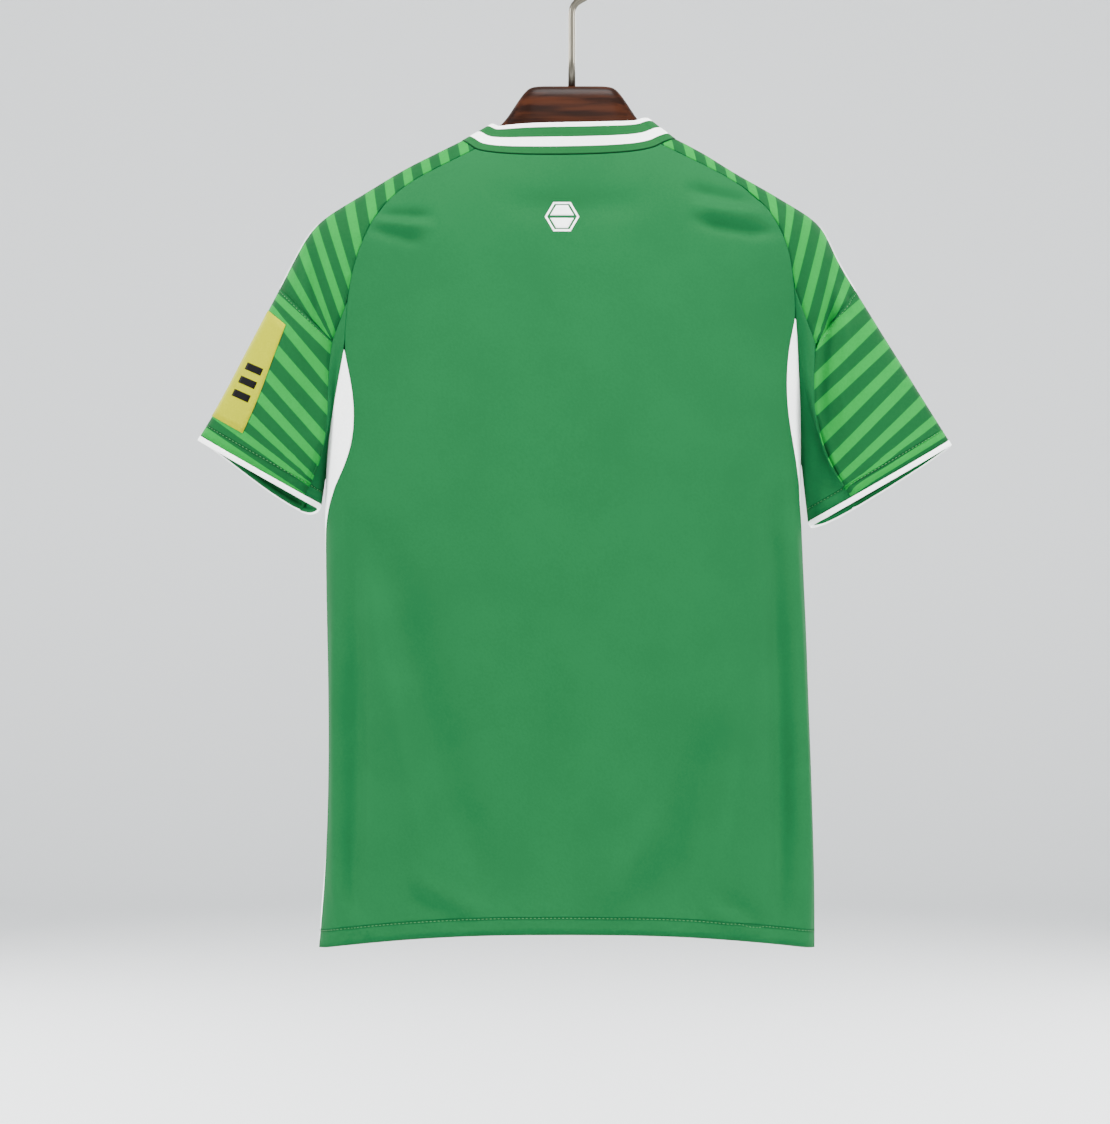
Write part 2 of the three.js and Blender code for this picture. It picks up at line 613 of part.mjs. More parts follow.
// On each side: the white side panel, the striped shoulder and sleeve, and the plain gusset
for (const side of SIDES) {
  panels[`side_panel_${side}`] = layGrid(
    SIDE_CELLS,
    SIDE_PANEL_CELLS,
    (i, j) => sidePoint(side, i, j / SIDE_PANEL_CELLS),
    { flip: side === 'left', draw: { top: ARMHOLE_GAP / 2 } },
  );
  panels[`shoulder_${side}`] = layGrid(
    SHOULDER_ROWS,
    SLEEVE_COLUMNS,
    (i, j) => shoulderPoint(side, i, j),
    { flip: side === 'left' },
  );
  panels[`sleeve_${side}`] = layGrid(
    SLEEVE_ROWS,
    SLEEVE_COLUMNS,
    (i, j) => sleeveColumnPoint(side, i / SLEEVE_ROWS, j),
    { flip: side === 'left' },
  );
  panels[`underarm_${side}`] = layGrid(
    GUSSET_CELLS,
    GUSSET_COLUMNS,
    (i, j) => gussetPoint(side, i, j),
    { flip: side === 'right', draw: { top: ARMHOLE_GAP / 2 } },
  );
}

// White rib trims round the cuffs
for (const side of SIDES) {
  const fall = sleeveFall(side);
  panels[`cuff_${side}`] = layGrid(
    1,
    CUFF_COLUMNS,
    (i, j) => {
      const inSleeve = j <= SLEEVE_COLUMNS;
      const point = inSleeve
        ? sleeveColumnPoint(side, 1, j)
        : cuffEdgePoint(side, CUFF_COLUMNS - j);
      return point.addScaledVector(fall, i * CUFF_HEIGHT);
    },
    { flip: side === 'left', ring: true, draw: { bottom: 0 } },
  );
}

// The rib collar, a ring on the neck seam
function neckSeam() {
  const ring = [];
  for (let j = 0; j < BODY_CELLS; j += 1) {
    ring.push(panelPoint('back', 0, j / BODY_CELLS));
  }
  for (let j = 0; j < SLEEVE_COLUMNS; j += 1) {
    ring.push(shoulderPoint('right', 0, j));
  }
  for (let j = BODY_CELLS; j > 0; j -= 1) {
    ring.push(panelPoint('front', 0, j / BODY_CELLS));
  }
  for (let j = SLEEVE_COLUMNS; j > 0; j -= 1) {
    ring.push(shoulderPoint('left', 0, j));
  }
  return ring;
}
const NECK_RING = neckSeam();
const COLLAR_LEAN = { inwards: 0.86, from: 100, power: 1.5, back: 0.12, front: -0.34, turn: 30, least: 0.05 };
function collarPoint(i, j) {
  const base = NECK_RING[j];
  const x = -Math.sign(base.x) * COLLAR_LEAN.inwards
    * Math.min(1, Math.abs(base.x) / COLLAR_LEAN.from) ** COLLAR_LEAN.power;
  const y = base.y < 0 ? COLLAR_LEAN.back : COLLAR_LEAN.front * smoothstep(0, COLLAR_LEAN.turn, base.y);
  const rise = new THREE.Vector3(x, y, Math.sqrt(Math.max(COLLAR_LEAN.least, 1 - x * x - y * y)));
  return base.clone().addScaledVector(rise, COLLAR_HEIGHT * (1 - i / COLLAR_ROWS));
}
panels.collar = layGrid(
  COLLAR_ROWS,
  NECK_RING.length,
  collarPoint,
  { ring: true, draw: { top: 0, bottom: COLLAR_GAP } },
);

shareSeams(Object.values(panels));

// What each panel is knitted as, and how thick it is
const MADE_OF = {
  back_panel: { material: MATERIALS.body, thickness: CLOTH_WALL },
  front_panel: { material: MATERIALS.body, thickness: CLOTH_WALL },
  side_panel: { material: MATERIALS.white, thickness: CLOTH_WALL },
  shoulder: { material: MATERIALS.stripes, thickness: CLOTH_WALL },
  sleeve: { material: MATERIALS.stripes, thickness: CLOTH_WALL },
  underarm: { material: MATERIALS.body, thickness: CLOTH_WALL },
  cuff: { material: MATERIALS.white, thickness: RIB_WALL },
  collar: { material: MATERIALS.rib, thickness: RIB_WALL },
};
for (const [name, grid] of Object.entries(panels)) {
  const { material, thickness } = MADE_OF[name.replace(/_(left|right)$/, '')];
  addPiece(name, wallGeometry(grid, -thickness / 2, thickness / 2), material);
}

// A piece laid on some cells of a panel, made from the panel's points moved out
function layOn(name, grid, rows, columns, material) {
  const cut = (lines) => lines
    .slice(rows[0], rows[1] + 1)
    .map((line) => line.slice(columns[0], columns[1] + 1));
  const patch = { points: cut(grid.points), normals: cut(grid.normals), ring: false };
  const base = CLOTH_WALL / 2 + LAID_GAP;
  addPiece(name, wallGeometry(patch, base, base + PATCH_WALL), material);
}

// A white tape along the outer end of each shoulder, and a patch round the left sleeve
const TAPE = { rows: [9, SHOULDER_ROWS], fromRidge: [-1, 3] };
const PATCH = { rows: [1, SLEEVE_ROWS - 1], fromRidge: [-4, 4] };
for (const side of SIDES) {
  const columns = TAPE.fromRidge.map((count) => HALF_ACROSS + count);
  layOn(`shoulder_tape_${side}`, panels[`shoulder_${side}`], TAPE.rows, columns, MATERIALS.white);
}
const patchColumns = PATCH.fromRidge.map((count) => HALF_ACROSS + count);
layOn('sleeve_patch', panels.sleeve_left, PATCH.rows, patchColumns, MATERIALS.patch);

// The hanger's wood, one slice after another from tip to tip
function hangerGeometry() {
  const stations = [...HANGER.slice(1).reverse().map((row) => ({ ...row, x: -row.x })), ...HANGER];
  const position = [];
  for (const row of stations) {
    const middle = (row.top + row.bottom) / 2;
    const tall = (row.top - row.bottom) / 2;
    for (let k = 0; k < HANGER_SIDES; k += 1) {
      const angle = (k / HANGER_SIDES) * 2 * Math.PI;
      const y = row.half * raise(Math.cos(angle), HANGER_SQUARE);
      const z = middle + tall * raise(Math.sin(angle), HANGER_SQUARE);
      position.push(row.x, y, z);
    }
  }
  const index = [];
  for (let i = 0; i < stations.length - 1; i += 1) {
    for (let k = 0; k < HANGER_SIDES; k += 1) {
      const next = (k + 1) % HANGER_SIDES;
      const a = i * HANGER_SIDES + k;
      const b = i * HANGER_SIDES + next;
      const c = a + HANGER_SIDES;
      const d = b + HANGER_SIDES;
      index.push(a, b, d, a, d, c);
    }
  }
  const last = (stations.length - 1) * HANGER_SIDES;
  for (let k = 1; k < HANGER_SIDES - 1; k += 1) {
    index.push(0, k + 1, k, last, last + k, last + k + 1);
  }
  const geometry = new THREE.BufferGeometry();
  geometry.setAttribute('position', new THREE.Float32BufferAttribute(position, 3));
  geometry.setIndex(index);
  return geometry;
}
addPiece('hanger', hangerGeometry(), MATERIALS.wood);

// The steel hook: a straight stem, a short bend and an arc over the rail
function hookPath() {
  const radius = HOOK_INSIDE_RADIUS + HOOK_WIRE_RADIUS;
  const centreZ = -HOOK_INSIDE_RADIUS;
  const points = HOOK_STEM.map((row) => new THREE.Vector3(row.x, 0, row.z));
  for (let degrees = HOOK_TURN.from; degrees <= HOOK_TURN.to; degrees += HOOK_TURN.step) {
    const angle = THREE.MathUtils.degToRad(degrees);
    points.push(new THREE.Vector3(radius * Math.cos(angle), 0, centreZ + radius * Math.sin(angle)));
  }
  return new THREE.CatmullRomCurve3(points);
}
function hookGeometry() {
  const section = new THREE.Shape();
  section.absarc(0, 0, HOOK_WIRE_RADIUS, 0, 2 * Math.PI);
  return new THREE.ExtrudeGeometry(section, {
    steps: HOOK_STEPS,
    curveSegments: HOOK_SIDES,
    bevelEnabled: false,
    extrudePath: hookPath(),
  });
}
const hook = new THREE.Mesh(hookGeometry(), MATERIALS.steel);
hook.name = 'hook';
jersey.add(hook);

export default jersey;
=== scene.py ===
import math

import bmesh
import bpy
import numpy as np
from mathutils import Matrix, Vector
from mathutils.bvhtree import BVHTree


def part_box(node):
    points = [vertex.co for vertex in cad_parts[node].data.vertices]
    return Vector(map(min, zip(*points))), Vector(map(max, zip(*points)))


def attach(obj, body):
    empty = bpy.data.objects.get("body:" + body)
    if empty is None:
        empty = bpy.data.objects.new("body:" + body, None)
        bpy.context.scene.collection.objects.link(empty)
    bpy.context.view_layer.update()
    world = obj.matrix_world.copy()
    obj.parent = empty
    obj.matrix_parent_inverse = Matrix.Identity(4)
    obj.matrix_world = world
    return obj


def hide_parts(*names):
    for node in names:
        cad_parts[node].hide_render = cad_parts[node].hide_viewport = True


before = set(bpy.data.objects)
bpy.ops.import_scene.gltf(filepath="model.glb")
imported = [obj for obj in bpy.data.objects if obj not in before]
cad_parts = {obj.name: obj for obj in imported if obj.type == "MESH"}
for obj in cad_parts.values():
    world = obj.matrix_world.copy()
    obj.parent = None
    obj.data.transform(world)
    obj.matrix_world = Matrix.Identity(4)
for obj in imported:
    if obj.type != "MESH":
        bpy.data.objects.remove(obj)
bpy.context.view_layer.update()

# Back and front
# The two large panels of the body, cut from one green polyester jersey knit and sewn at the
# raglan and side seams. They hang from the shoulders in soft, uneven troughs.
MM = 0.001
KNIT_THICKNESS = 1.1 * MM
# Wall of the solids in millimetres: an edge of just this length that leans outward is on a rim
CLOTH_WALL = 1.3
WALL_SLACK = 0.004
RIM_LEAN = 0.1
MERGE_REACH = 0.01 * MM
QUAD_TURN = math.radians(60)
QUAD_SKEW = math.radians(80)
CUT_CORNER = math.radians(135)
# Knit: its loops are about 1 mm, and the grain is drawn coarser, so that it shows
KNIT_GRAIN = 2.3 * MM
KNIT_RELIEF = 0.25 * MM
GRAIN_STRENGTH = 0.35
GRAIN_DETAIL = 3.0
BROAD_TONE = 60 * MM
BROAD_DETAIL = 2.0
TONE_SPREAD = (0.75, 1.25)
TONE_SWING = 0.045
KNIT_ROUGHNESS = 0.88
KNIT_GLOSS = 0.05
# Sewn row: its groove and its puckers, in multiples of the row's distance from the edge, and the
# painted shade that darkens the colour in the groove
GROOVE = (0.03, 0.13)
# Painted shade: share of brightness left to the knit's colour in the groove of a sewn row
GROOVE_PAINTED_SHADE = 0.8
PUCKERS_START = (0.05, 0.4)
PUCKERS_END = (1.1, 2.2)
PUCKER_LENGTH = 9 * MM
PUCKER_DETAIL = 1.0
PUCKER_RELIEF = 1.2 * MM
PUCKER_STRENGTH = 0.9
# Levels of subdivision: for the large panels and the collar, and for all smaller pieces
FINE = 3
MEDIUM = 2
BODY_GREEN = "134F2A"


def linear(colour):
    """Turns an sRGB hex colour into linear RGBA."""
    shares = [int(colour[i:i + 2], 16) / 255 for i in (0, 2, 4)]
    parts = [c / 12.92 if c <= 0.04045 else ((c + 0.055) / 1.055) ** 2.4 for c in shares]
    return (*parts, 1.0)


def new_material(name):
    """Makes a node material and returns it with its tree and its Principled node."""
    material = bpy.data.materials.new(name)
    material.use_nodes = True
    tree = material.node_tree
    return material, tree, tree.nodes["Principled BSDF"]


def add_node(tree, kind, inputs=(), **settings):
    """Adds a node, sets its properties, and gives its inputs their links or values."""
    node = tree.nodes.new(kind)
    for key, value in settings.items():
        setattr(node, key, value)
    for key, value in dict(inputs).items():
        if isinstance(value, bpy.types.NodeSocket):
            tree.links.new(value, node.inputs[key])
        else:
            node.inputs[key].default_value = value
    return node


def knit_surface(tree, shader, colour, grain=KNIT_GRAIN, depth=KNIT_RELIEF):
    """Gives the shader a matt, finely mottled knit, sewn rows' grooves and puckers, and painted
    shade in the grooves.
    """
    place = add_node(tree, "ShaderNodeTexCoord").outputs["Object"]
    fine = add_node(
        tree, "ShaderNodeTexNoise", {"Vector": place, "Scale": 1 / grain, "Detail": GRAIN_DETAIL}
    )
    broad = add_node(
        tree, "ShaderNodeTexNoise",
        {"Vector": place, "Scale": 1 / BROAD_TONE, "Detail": BROAD_DETAIL},
    )
    both = add_node(
        tree, "ShaderNodeMath", {0: fine.outputs[0], 1: broad.outputs[0]}, operation="ADD"
    )
    tone = add_node(
        tree, "ShaderNodeMapRange",
        {
            "Value": both.outputs[0], "From Min": TONE_SPREAD[0], "From Max": TONE_SPREAD[1],
            "To Min": 1 - TONE_SWING, "To Max": 1 + TONE_SWING,
        },
        interpolation_type="SMOOTHSTEP",
    )
    row = add_node(tree, "ShaderNodeAttribute", attribute_name="sewn_row").outputs["Fac"]
    near = add_node(tree, "ShaderNodeMath", {0: row, 1: 1.0}, operation="SUBTRACT")
    away = add_node(tree, "ShaderNodeMath", {0: near.outputs[0]}, operation="ABSOLUTE")
    groove = add_node(
        tree, "ShaderNodeMapRange",
        {
            "Value": away.outputs[0], "From Min": GROOVE[0], "From Max": GROOVE[1],
            "To Min": 1.0, "To Max": 0.0,
        },
        interpolation_type="SMOOTHSTEP",
    )
    rise = add_node(
        tree, "ShaderNodeMapRange",
        {"Value": row, "From Min": PUCKERS_START[0], "From Max": PUCKERS_START[1]},
        interpolation_type="SMOOTHSTEP",
    )
    fall = add_node(
        tree, "ShaderNodeMapRange",
        {
            "Value": row, "From Min": PUCKERS_END[0], "From Max": PUCKERS_END[1],
            "To Min": 1.0, "To Max": 0.0,
        },
        interpolation_type="SMOOTHSTEP",
    )
    band = add_node(
        tree, "ShaderNodeMath", {0: rise.outputs[0], 1: fall.outputs[0]}, operation="MULTIPLY"
    )
    pucker = add_node(
        tree, "ShaderNodeTexNoise",
        {"Vector": place, "Scale": 1 / PUCKER_LENGTH, "Detail": PUCKER_DETAIL},
    )
    waves = add_node(
        tree, "ShaderNodeMath", {0: pucker.outputs[0], 1: band.outputs[0]}, operation="MULTIPLY"
    )
    form = add_node(
        tree, "ShaderNodeMath", {0: waves.outputs[0], 1: groove.outputs[0]}, operation="SUBTRACT"
    )
    # Painted shade: the colour is darkened along the groove of each sewn row
    painted_groove_shade = add_node(
        tree, "ShaderNodeMapRange",
        {"Value": groove.outputs[0], "To Min": 1.0, "To Max": GROOVE_PAINTED_SHADE},
        interpolation_type="SMOOTHSTEP",
    )
    brightness = add_node(
        tree, "ShaderNodeMath", {0: tone.outputs[0], 1: painted_groove_shade.outputs[0]}, operation="MULTIPLY"
    )
    shade = add_node(
        tree, "ShaderNodeHueSaturation", {"Color": colour, "Value": brightness.outputs[0]}
    )
    sewn = add_node(
        tree, "ShaderNodeBump",
        {"Height": form.outputs[0], "Strength": PUCKER_STRENGTH, "Distance": PUCKER_RELIEF},
    )
    bump = add_node(
        tree, "ShaderNodeBump",
        {
            "Height": fine.outputs[0], "Normal": sewn.outputs[0],
            "Strength": GRAIN_STRENGTH, "Distance": depth,
        },
    )
    tree.links.new(shade.outputs[0], shader.inputs["Base Color"])
    tree.links.new(bump.outputs[0], shader.inputs["Normal"])
    shader.inputs["Roughness"].default_value = KNIT_ROUGHNESS
    shader.inputs["Specular IOR Level"].default_value = KNIT_GLOSS


def plain_knit(name, colour):
    """A knit material of one colour."""
    material, tree, shader = new_material(name)
    knit_surface(tree, shader, linear(colour))
    return material


def middle(node):
    """The centre of a CAD node's box."""
    low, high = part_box(node)
    return (Vector(low) + Vector(high)) / 2


def outwardness(faces, inside):
    """How far, and over how much area, a set of faces looks away from a point."""
    return sum(f.calc_area() * f.normal.dot(f.calc_center_median() - inside) for f in faces)


def outer_side(node, inside, thickness=CLOTH_WALL):
    """Copies the side of a node's thin wall that faces away from a point, as a quad sheet."""
    wall = bmesh.new()
    wall.from_mesh(bpy.data.objects[node].data)
    bmesh.ops.remove_doubles(wall, verts=wall.verts, dist=MERGE_REACH)
    wall.normal_update()
    rim = set()
    for edge in wall.edges:
        first, second = edge.verts
        along = (second.co - first.co).normalized()
        upright = min(abs(first.normal.dot(along)), abs(second.normal.dot(along)))
        if abs(edge.calc_length() / MM - thickness) < WALL_SLACK and upright > RIM_LEAN:
            rim.update(edge.link_faces)
    bmesh.ops.delete(wall, geom=list(rim), context="FACES")
    left, sides = set(wall.faces), []
    while left:
        grow = [left.pop()]
        side = list(grow)
        while grow:
            for edge in grow.pop().edges:
                for near in edge.link_faces:
                    if near in left:
                        left.remove(near)
                        grow.append(near)
                        side.append(near)
        sides.append(side)
    kept = set(max(sides, key=lambda side: outwardness(side, inside)))
    bmesh.ops.delete(wall, geom=[f for f in wall.faces if f not in kept], context="FACES")
    bmesh.ops.join_triangles(
        wall, faces=wall.faces, angle_face_threshold=QUAD_TURN, angle_shape_threshold=QUAD_SKEW
    )
    sharp = wall.verts.layers.float.new("crease_vert")
    for vert in wall.verts:
        if vert.is_boundary and sum(loop.calc_angle() for loop in vert.link_loops) < CUT_CORNER:
            vert[sharp] = 1.0
    return wall


def show(name, mesh):
    """Links a bmesh to the scene as a smooth object at the origin."""
    data = bpy.data.meshes.new(name)
    mesh.to_mesh(data)
    mesh.free()
    obj = bpy.data.objects.new(name, data)
    bpy.context.scene.collection.objects.link(obj)
    for polygon in data.polygons:
        polygon.use_smooth = True
    return obj


def refine(obj, levels):
    """Applies a subdivision surface, so that the fine mesh can be moved vertex by vertex."""
    smooth = obj.modifiers.new("Subdivision", "SUBSURF")
    smooth.levels = smooth.render_levels = levels
    smooth.boundary_smooth = "PRESERVE_CORNERS"
    view = bpy.context.evaluated_depsgraph_get()
    obj.data = bpy.data.meshes.new_from_object(obj.evaluated_get(view))
    obj.modifiers.clear()


def points_of(obj):
    """The vertices and vertex normals of an object as two arrays."""
    mesh = obj.data
    places = np.empty(len(mesh.vertices) * 3)
    mesh.vertices.foreach_get("co", places)
    normals = np.empty(len(mesh.vertices) * 3)
    mesh.vertex_normals.foreach_get("vector", normals)
    return places.reshape(-1, 3), normals.reshape(-1, 3)


# Troughs, below 0, and ridges of the back, in millimetres: height, half width, x and z along it
BACK_FOLDS = [
    (-3.4, 10, [
        (180.0, -424.8), (185.4, -541.8), (189.0, -667.8), (189.9, -775.8), (188.1, -865.8),
        (186.3, -946.8),
    ]),
    (2.6, 9, [(205.2, -460.8), (208.8, -595.8), (210.6, -739.8), (211.5, -874.8), (212.4, -946.8)]),
    (-2.6, 9, [
        (-198.0, -460.8), (-195.3, -577.8), (-194.4, -721.8), (-198.0, -847.8), (-199.8, -937.8),
    ]),
    (1.8, 7, [(-214.2, -541.8), (-212.4, -685.8), (-211.5, -829.8), (-210.6, -928.8)]),
    (-3.4, 19, [
        (-167.4, -505.8), (-153.0, -586.8), (-127.8, -658.8), (-109.8, -739.8), (-91.8, -802.8),
        (-70.2, -892.8),
    ]),
    (2.8, 17, [
        (-190.8, -523.8), (-174.6, -613.8), (-151.2, -703.8), (-133.2, -793.8), (-113.4, -892.8),
    ]),
    (-3.2, 20, [(140.4, -667.8), (117.0, -739.8), (93.6, -811.8), (72.0, -874.8)]),
    (2.6, 15, [(86.4, -748.8), (61.2, -802.8), (36.0, -838.8), (16.2, -865.8)]),
    (2.2, 16, [(158.4, -595.8), (153.0, -703.8), (140.4, -793.8), (129.6, -901.8)]),
    (-1.8, 22, [(-5.4, -613.8), (-12.6, -703.8), (-21.6, -793.8), (-28.8, -883.8)]),
    (-2.5, 6, [(99.0, -234.0), (129.6, -240.3), (160.2, -245.7), (196.2, -246.6)]),
    (-2.2, 7, [(93.6, -204.3), (122.4, -210.6), (149.4, -215.1), (177.3, -219.6)]),
    (2.2, 7, [(100.8, -223.2), (129.6, -227.7), (156.6, -230.4), (184.5, -232.2)]),
    (-1.9, 6, [(-184.5, -229.5), (-165.6, -231.3), (-145.8, -232.2), (-118.8, -232.2)]),
    (-1.8, 6, [(-189.0, -241.2), (-169.2, -245.7), (-149.4, -252.0), (-127.8, -259.2)]),
    (1.6, 6, [(-185.4, -234.9), (-165.6, -237.6), (-144.0, -240.3), (-118.8, -245.7)]),
    (-1.5, 14, [(-91.8, -208.8), (-46.8, -222.3), (0.0, -225.9), (52.2, -221.4), (97.2, -207.0)]),
    (-1.8, 14, [(-198.0, -487.8), (-174.6, -532.8), (-156.6, -595.8)]),
    (-1.8, 13, [(201.6, -469.8), (183.6, -514.8), (172.8, -559.8)]),
    (1.5, 6, [(-151.2, -819.0), (-122.4, -837.0), (-91.8, -853.2), (-64.8, -860.4)]),
    (-1.3, 6, [(-156.6, -833.4), (-129.6, -850.5), (-99.0, -863.1), (-77.4, -869.4)]),
    (1.3, 6, [(106.2, -844.2), (135.0, -860.4), (162.0, -876.6), (183.6, -883.8)]),
    (-1.3, 6, [(120.6, -838.8), (149.4, -853.2), (176.4, -871.2), (194.4, -882.0)]),
    (1.6, 7, [(-217.8, -817.2), (-208.8, -842.4), (-194.4, -867.6), (-178.2, -887.4)]),
    (-3.4, 6, [
        (230.4, -241.2), (235.8, -286.2), (234.0, -334.8), (230.4, -388.8), (231.3, -433.8),
        (241.2, -480.6),
    ]),
    (2.2, 6, [(250.2, -286.2), (249.3, -334.8), (243.0, -388.8), (245.7, -442.8)]),
    (-1.8, 6, [(216.0, -334.8), (239.4, -322.2), (264.6, -315.0)]),
    (-1.6, 6, [(234.0, -268.2), (248.4, -295.2), (266.4, -325.8)]),
    (-2.2, 6, [(-236.7, -250.2), (-234.9, -280.8), (-232.2, -313.2), (-228.6, -351.0)]),
    (1.4, 7, [(-244.8, -264.6), (-244.8, -291.6), (-243.0, -318.6)]),
    (-1.6, 8, [(-244.8, -334.8), (-239.4, -388.8), (-241.2, -442.8)]),
]
# The same on the front, which the photograph hides
FRONT_FOLDS = [
    (-4.2, 11, [(180.0, -568.8), (178.2, -667.8), (181.8, -766.8), (178.2, -888.3)]),
    (3.2, 10, [(203.4, -550.8), (205.2, -685.8), (207.0, -879.3)]),
    (-3.6, 11, [(-198.0, -577.8), (-194.4, -685.8), (-199.8, -784.8), (-198.0, -888.3)]),
    (-3.0, 15, [(153.0, -550.8), (129.6, -631.8), (106.2, -712.8), (86.4, -802.8)]),
    (2.4, 15, [(133.2, -577.8), (109.8, -667.8), (86.4, -748.8), (66.6, -829.8)]),
    (-2.6, 15, [(-127.8, -613.8), (-113.4, -703.8), (-91.8, -793.8), (-82.8, -856.8)]),
    (2.0, 16, [(-10.8, -577.8), (-5.4, -667.8), (-10.8, -757.8), (-1.8, -847.8)]),
    (-2.6, 7, [(115.2, -246.6), (147.6, -250.2), (178.2, -259.2)]),
    (-2.4, 7, [(-172.8, -252.0), (-144.0, -247.5), (-113.4, -252.0)]),
    (-1.8, 14, [(-82.8, -253.8), (-37.8, -273.6), (7.2, -279.0), (61.2, -268.2)]),
    (1.6, 10, [(-64.8, -280.8), (-10.8, -297.0), (43.2, -289.8)]),
]
FOLD_SCALE = 2.1
FOLD_FADE = 0.35
FACING_FULL = 0.5


def fold_amounts(places, folds):
    """How far a list of folds moves each point outward, in metres."""
    flat = places[:, [0, 2]] / MM
    total = np.zeros(len(flat))
    for height, half_width, path in folds:
        path = np.array(path)
        steps = np.diff(path, axis=0)
        lengths = np.hypot(steps[:, 0], steps[:, 1])
        nearest = np.full(len(flat), np.inf)
        along = np.zeros(len(flat))
        before = 0.0
        for start, step, length in zip(path, steps, lengths):
            share = np.clip(((flat - start) @ step) / length**2, 0, 1)
            away = np.hypot(*(flat - start - share[:, None] * step).T)
            closer = away < nearest
            nearest[closer] = away[closer]
            along[closer] = before + share[closer] * length
            before += length
        ends = np.clip(np.minimum(along, before - along) / (FOLD_FADE * before), 0, 1)
        ends = ends * ends * (3 - 2 * ends)
        total += height * np.exp(-((nearest / half_width) ** 2)) * ends
    return total * MM * FOLD_SCALE


def fold_cloth(obj):
    """Lays the given folds into a cloth piece, those of the side that each point faces."""
    places, normals = points_of(obj)
    for folds, facing in ((BACK_FOLDS, -normals[:, 1]), (FRONT_FOLDS, normals[:, 1])):
        weight = np.clip(facing / FACING_FULL, 0, 1)
        places = places + normals * (fold_amounts(places, folds) * weight)[:, None]
    obj.data.vertices.foreach_set("co", places.ravel())
    obj.data.update()


def give_thickness(obj, thickness):
    """Thickens a sheet inward, away from its outer face."""
    wall = obj.modifiers.new("Thickness", "SOLIDIFY")
    wall.thickness = thickness
    wall.offset = -1.0
    wall.use_even_offset = False


def finish_cloth(obj, node, material, thickness=KNIT_THICKNESS):
    """Gives a cloth piece its thickness, material and body, and hides the CAD node that it
    replaces.
    """
    give_thickness(obj, thickness)
    obj.data.materials.clear()
    obj.data.materials.append(material)
    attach(obj, "root")
    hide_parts(node)
    return obj


def cloth(name, node, inside, levels, material):
    """Makes a knit panel from the outer side of its CAD node."""
    obj = show(name, outer_side(node, inside))
    refine(obj, levels)
    fold_cloth(obj)
    return finish_cloth(obj, node, material)


BODY_AXIS = Vector((-5 * MM, 0, -500 * MM))

# Even mid green, matt, with a faint mottled grain of two to three millimetres
green_knit = plain_knit("green_polyester_knit", BODY_GREEN)
back = cloth("back_cloth", "back_panel", BODY_AXIS, FINE, green_knit)
front = cloth("front_cloth", "front_panel", BODY_AXIS, FINE, green_knit)

# Side panels
# A slim white panel of the same polyester knit runs from each armhole down to the hem. It is
# widest below the armhole and sewn in between back and front.
LOW_AXIS = Vector((-5 * MM, 0, -700 * MM))
WHITE = "FAFCFB"

# White knit, very slightly cool, matt like the green
white_knit = plain_knit("white_polyester_knit", WHITE)
side_left = cloth(
    "side_left_cloth", "side_panel_left", LOW_AXIS, MEDIUM, white_knit
)
side_right = cloth(
    "side_right_cloth", "side_panel_right", LOW_AXIS, MEDIUM, white_knit
)

# Striped shoulders and sleeves
# Raglan shoulder panels and lower sleeves, sublimation-printed in two greens and joined by a
# cross seam. The bars fan out over the shoulder and ring the sleeve.
STRIPE_DARK = "104522"
STRIPE_LIGHT = "0C762C"
# Spacing of the outermost bars in millimetres, and where a bar's edge lies in shares of a spacing
BAR_SPACING = 18
BAR_EDGE = (0.215, 0.245)
HALF_BAR = 0.5
# Middle lines of the light bars in millimetres: x and z of one end, then of the other
SHOULDER_BARS_LEFT = [
    ((-99.0, -162.9), (-97.2, -171.9)), ((-117.0, -171.9), (-114.8, -181.8)),
    ((-133.2, -180.0), (-130.5, -190.8)), ((-149.8, -187.2), (-147.2, -202.5)),
    ((-165.9, -196.2), (-162.9, -216.0)), ((-183.6, -206.1), (-178.6, -234.0)),
    ((-201.2, -218.7), (-192.6, -259.2)),
    ((-219.0, -233.1), (-201.2, -287.1)), ((-231.6, -245.7), (-206.3, -320.0)),
    ((-243.0, -261.9), (-215.1, -341.6)),
    ((-257.4, -279.0), (-216.9, -344.7)),
]
SHOULDER_BARS_RIGHT = [
    ((86.4, -160.2), (88.2, -169.2)), ((106.2, -169.2), (108.5, -179.1)),
    ((125.1, -179.1), (126.9, -189.0)), ((142.7, -186.3), (144.9, -198.9)),
    ((161.1, -196.2), (164.7, -211.5)), ((180.0, -211.5), (182.7, -229.1)),
    ((198.0, -221.4), (192.6, -252.0)),
    ((214.2, -231.3), (200.4, -287.1)), ((229.5, -243.9), (211.5, -312.3)),
    ((242.1, -262.8), (220.5, -346.5)),
    ((252.9, -281.7), (221.8, -348.3)),
]
SLEEVE_BARS_LEFT = [
    ((-267.3, -305.1), (-231.6, -337.5)), ((-255.6, -333.9), (-226.8, -370.8)),
    ((-264.6, -355.5), (-224.1, -400.5)),
    ((-274.5, -375.3), (-222.8, -434.7)), ((-282.1, -394.2), (-225.3, -456.3)),
    ((-290.9, -413.6), (-231.6, -471.6)),
    ((-325.0, -408.6), (-254.3, -459.9)), ((-333.0, -425.7), (-279.0, -460.8)),
]
SLEEVE_BARS_RIGHT = [
    ((264.6, -307.4), (229.5, -337.5)), ((277.2, -324.0), (226.8, -374.4)),
    ((288.9, -342.9), (219.3, -405.9)),
    ((297.6, -360.4), (224.1, -433.8)), ((307.8, -378.0), (226.8, -461.3)),
    ((319.1, -396.9), (234.5, -476.6)),
    ((330.3, -414.6), (248.4, -478.8)), ((339.3, -424.8), (300.2, -448.7)),
]


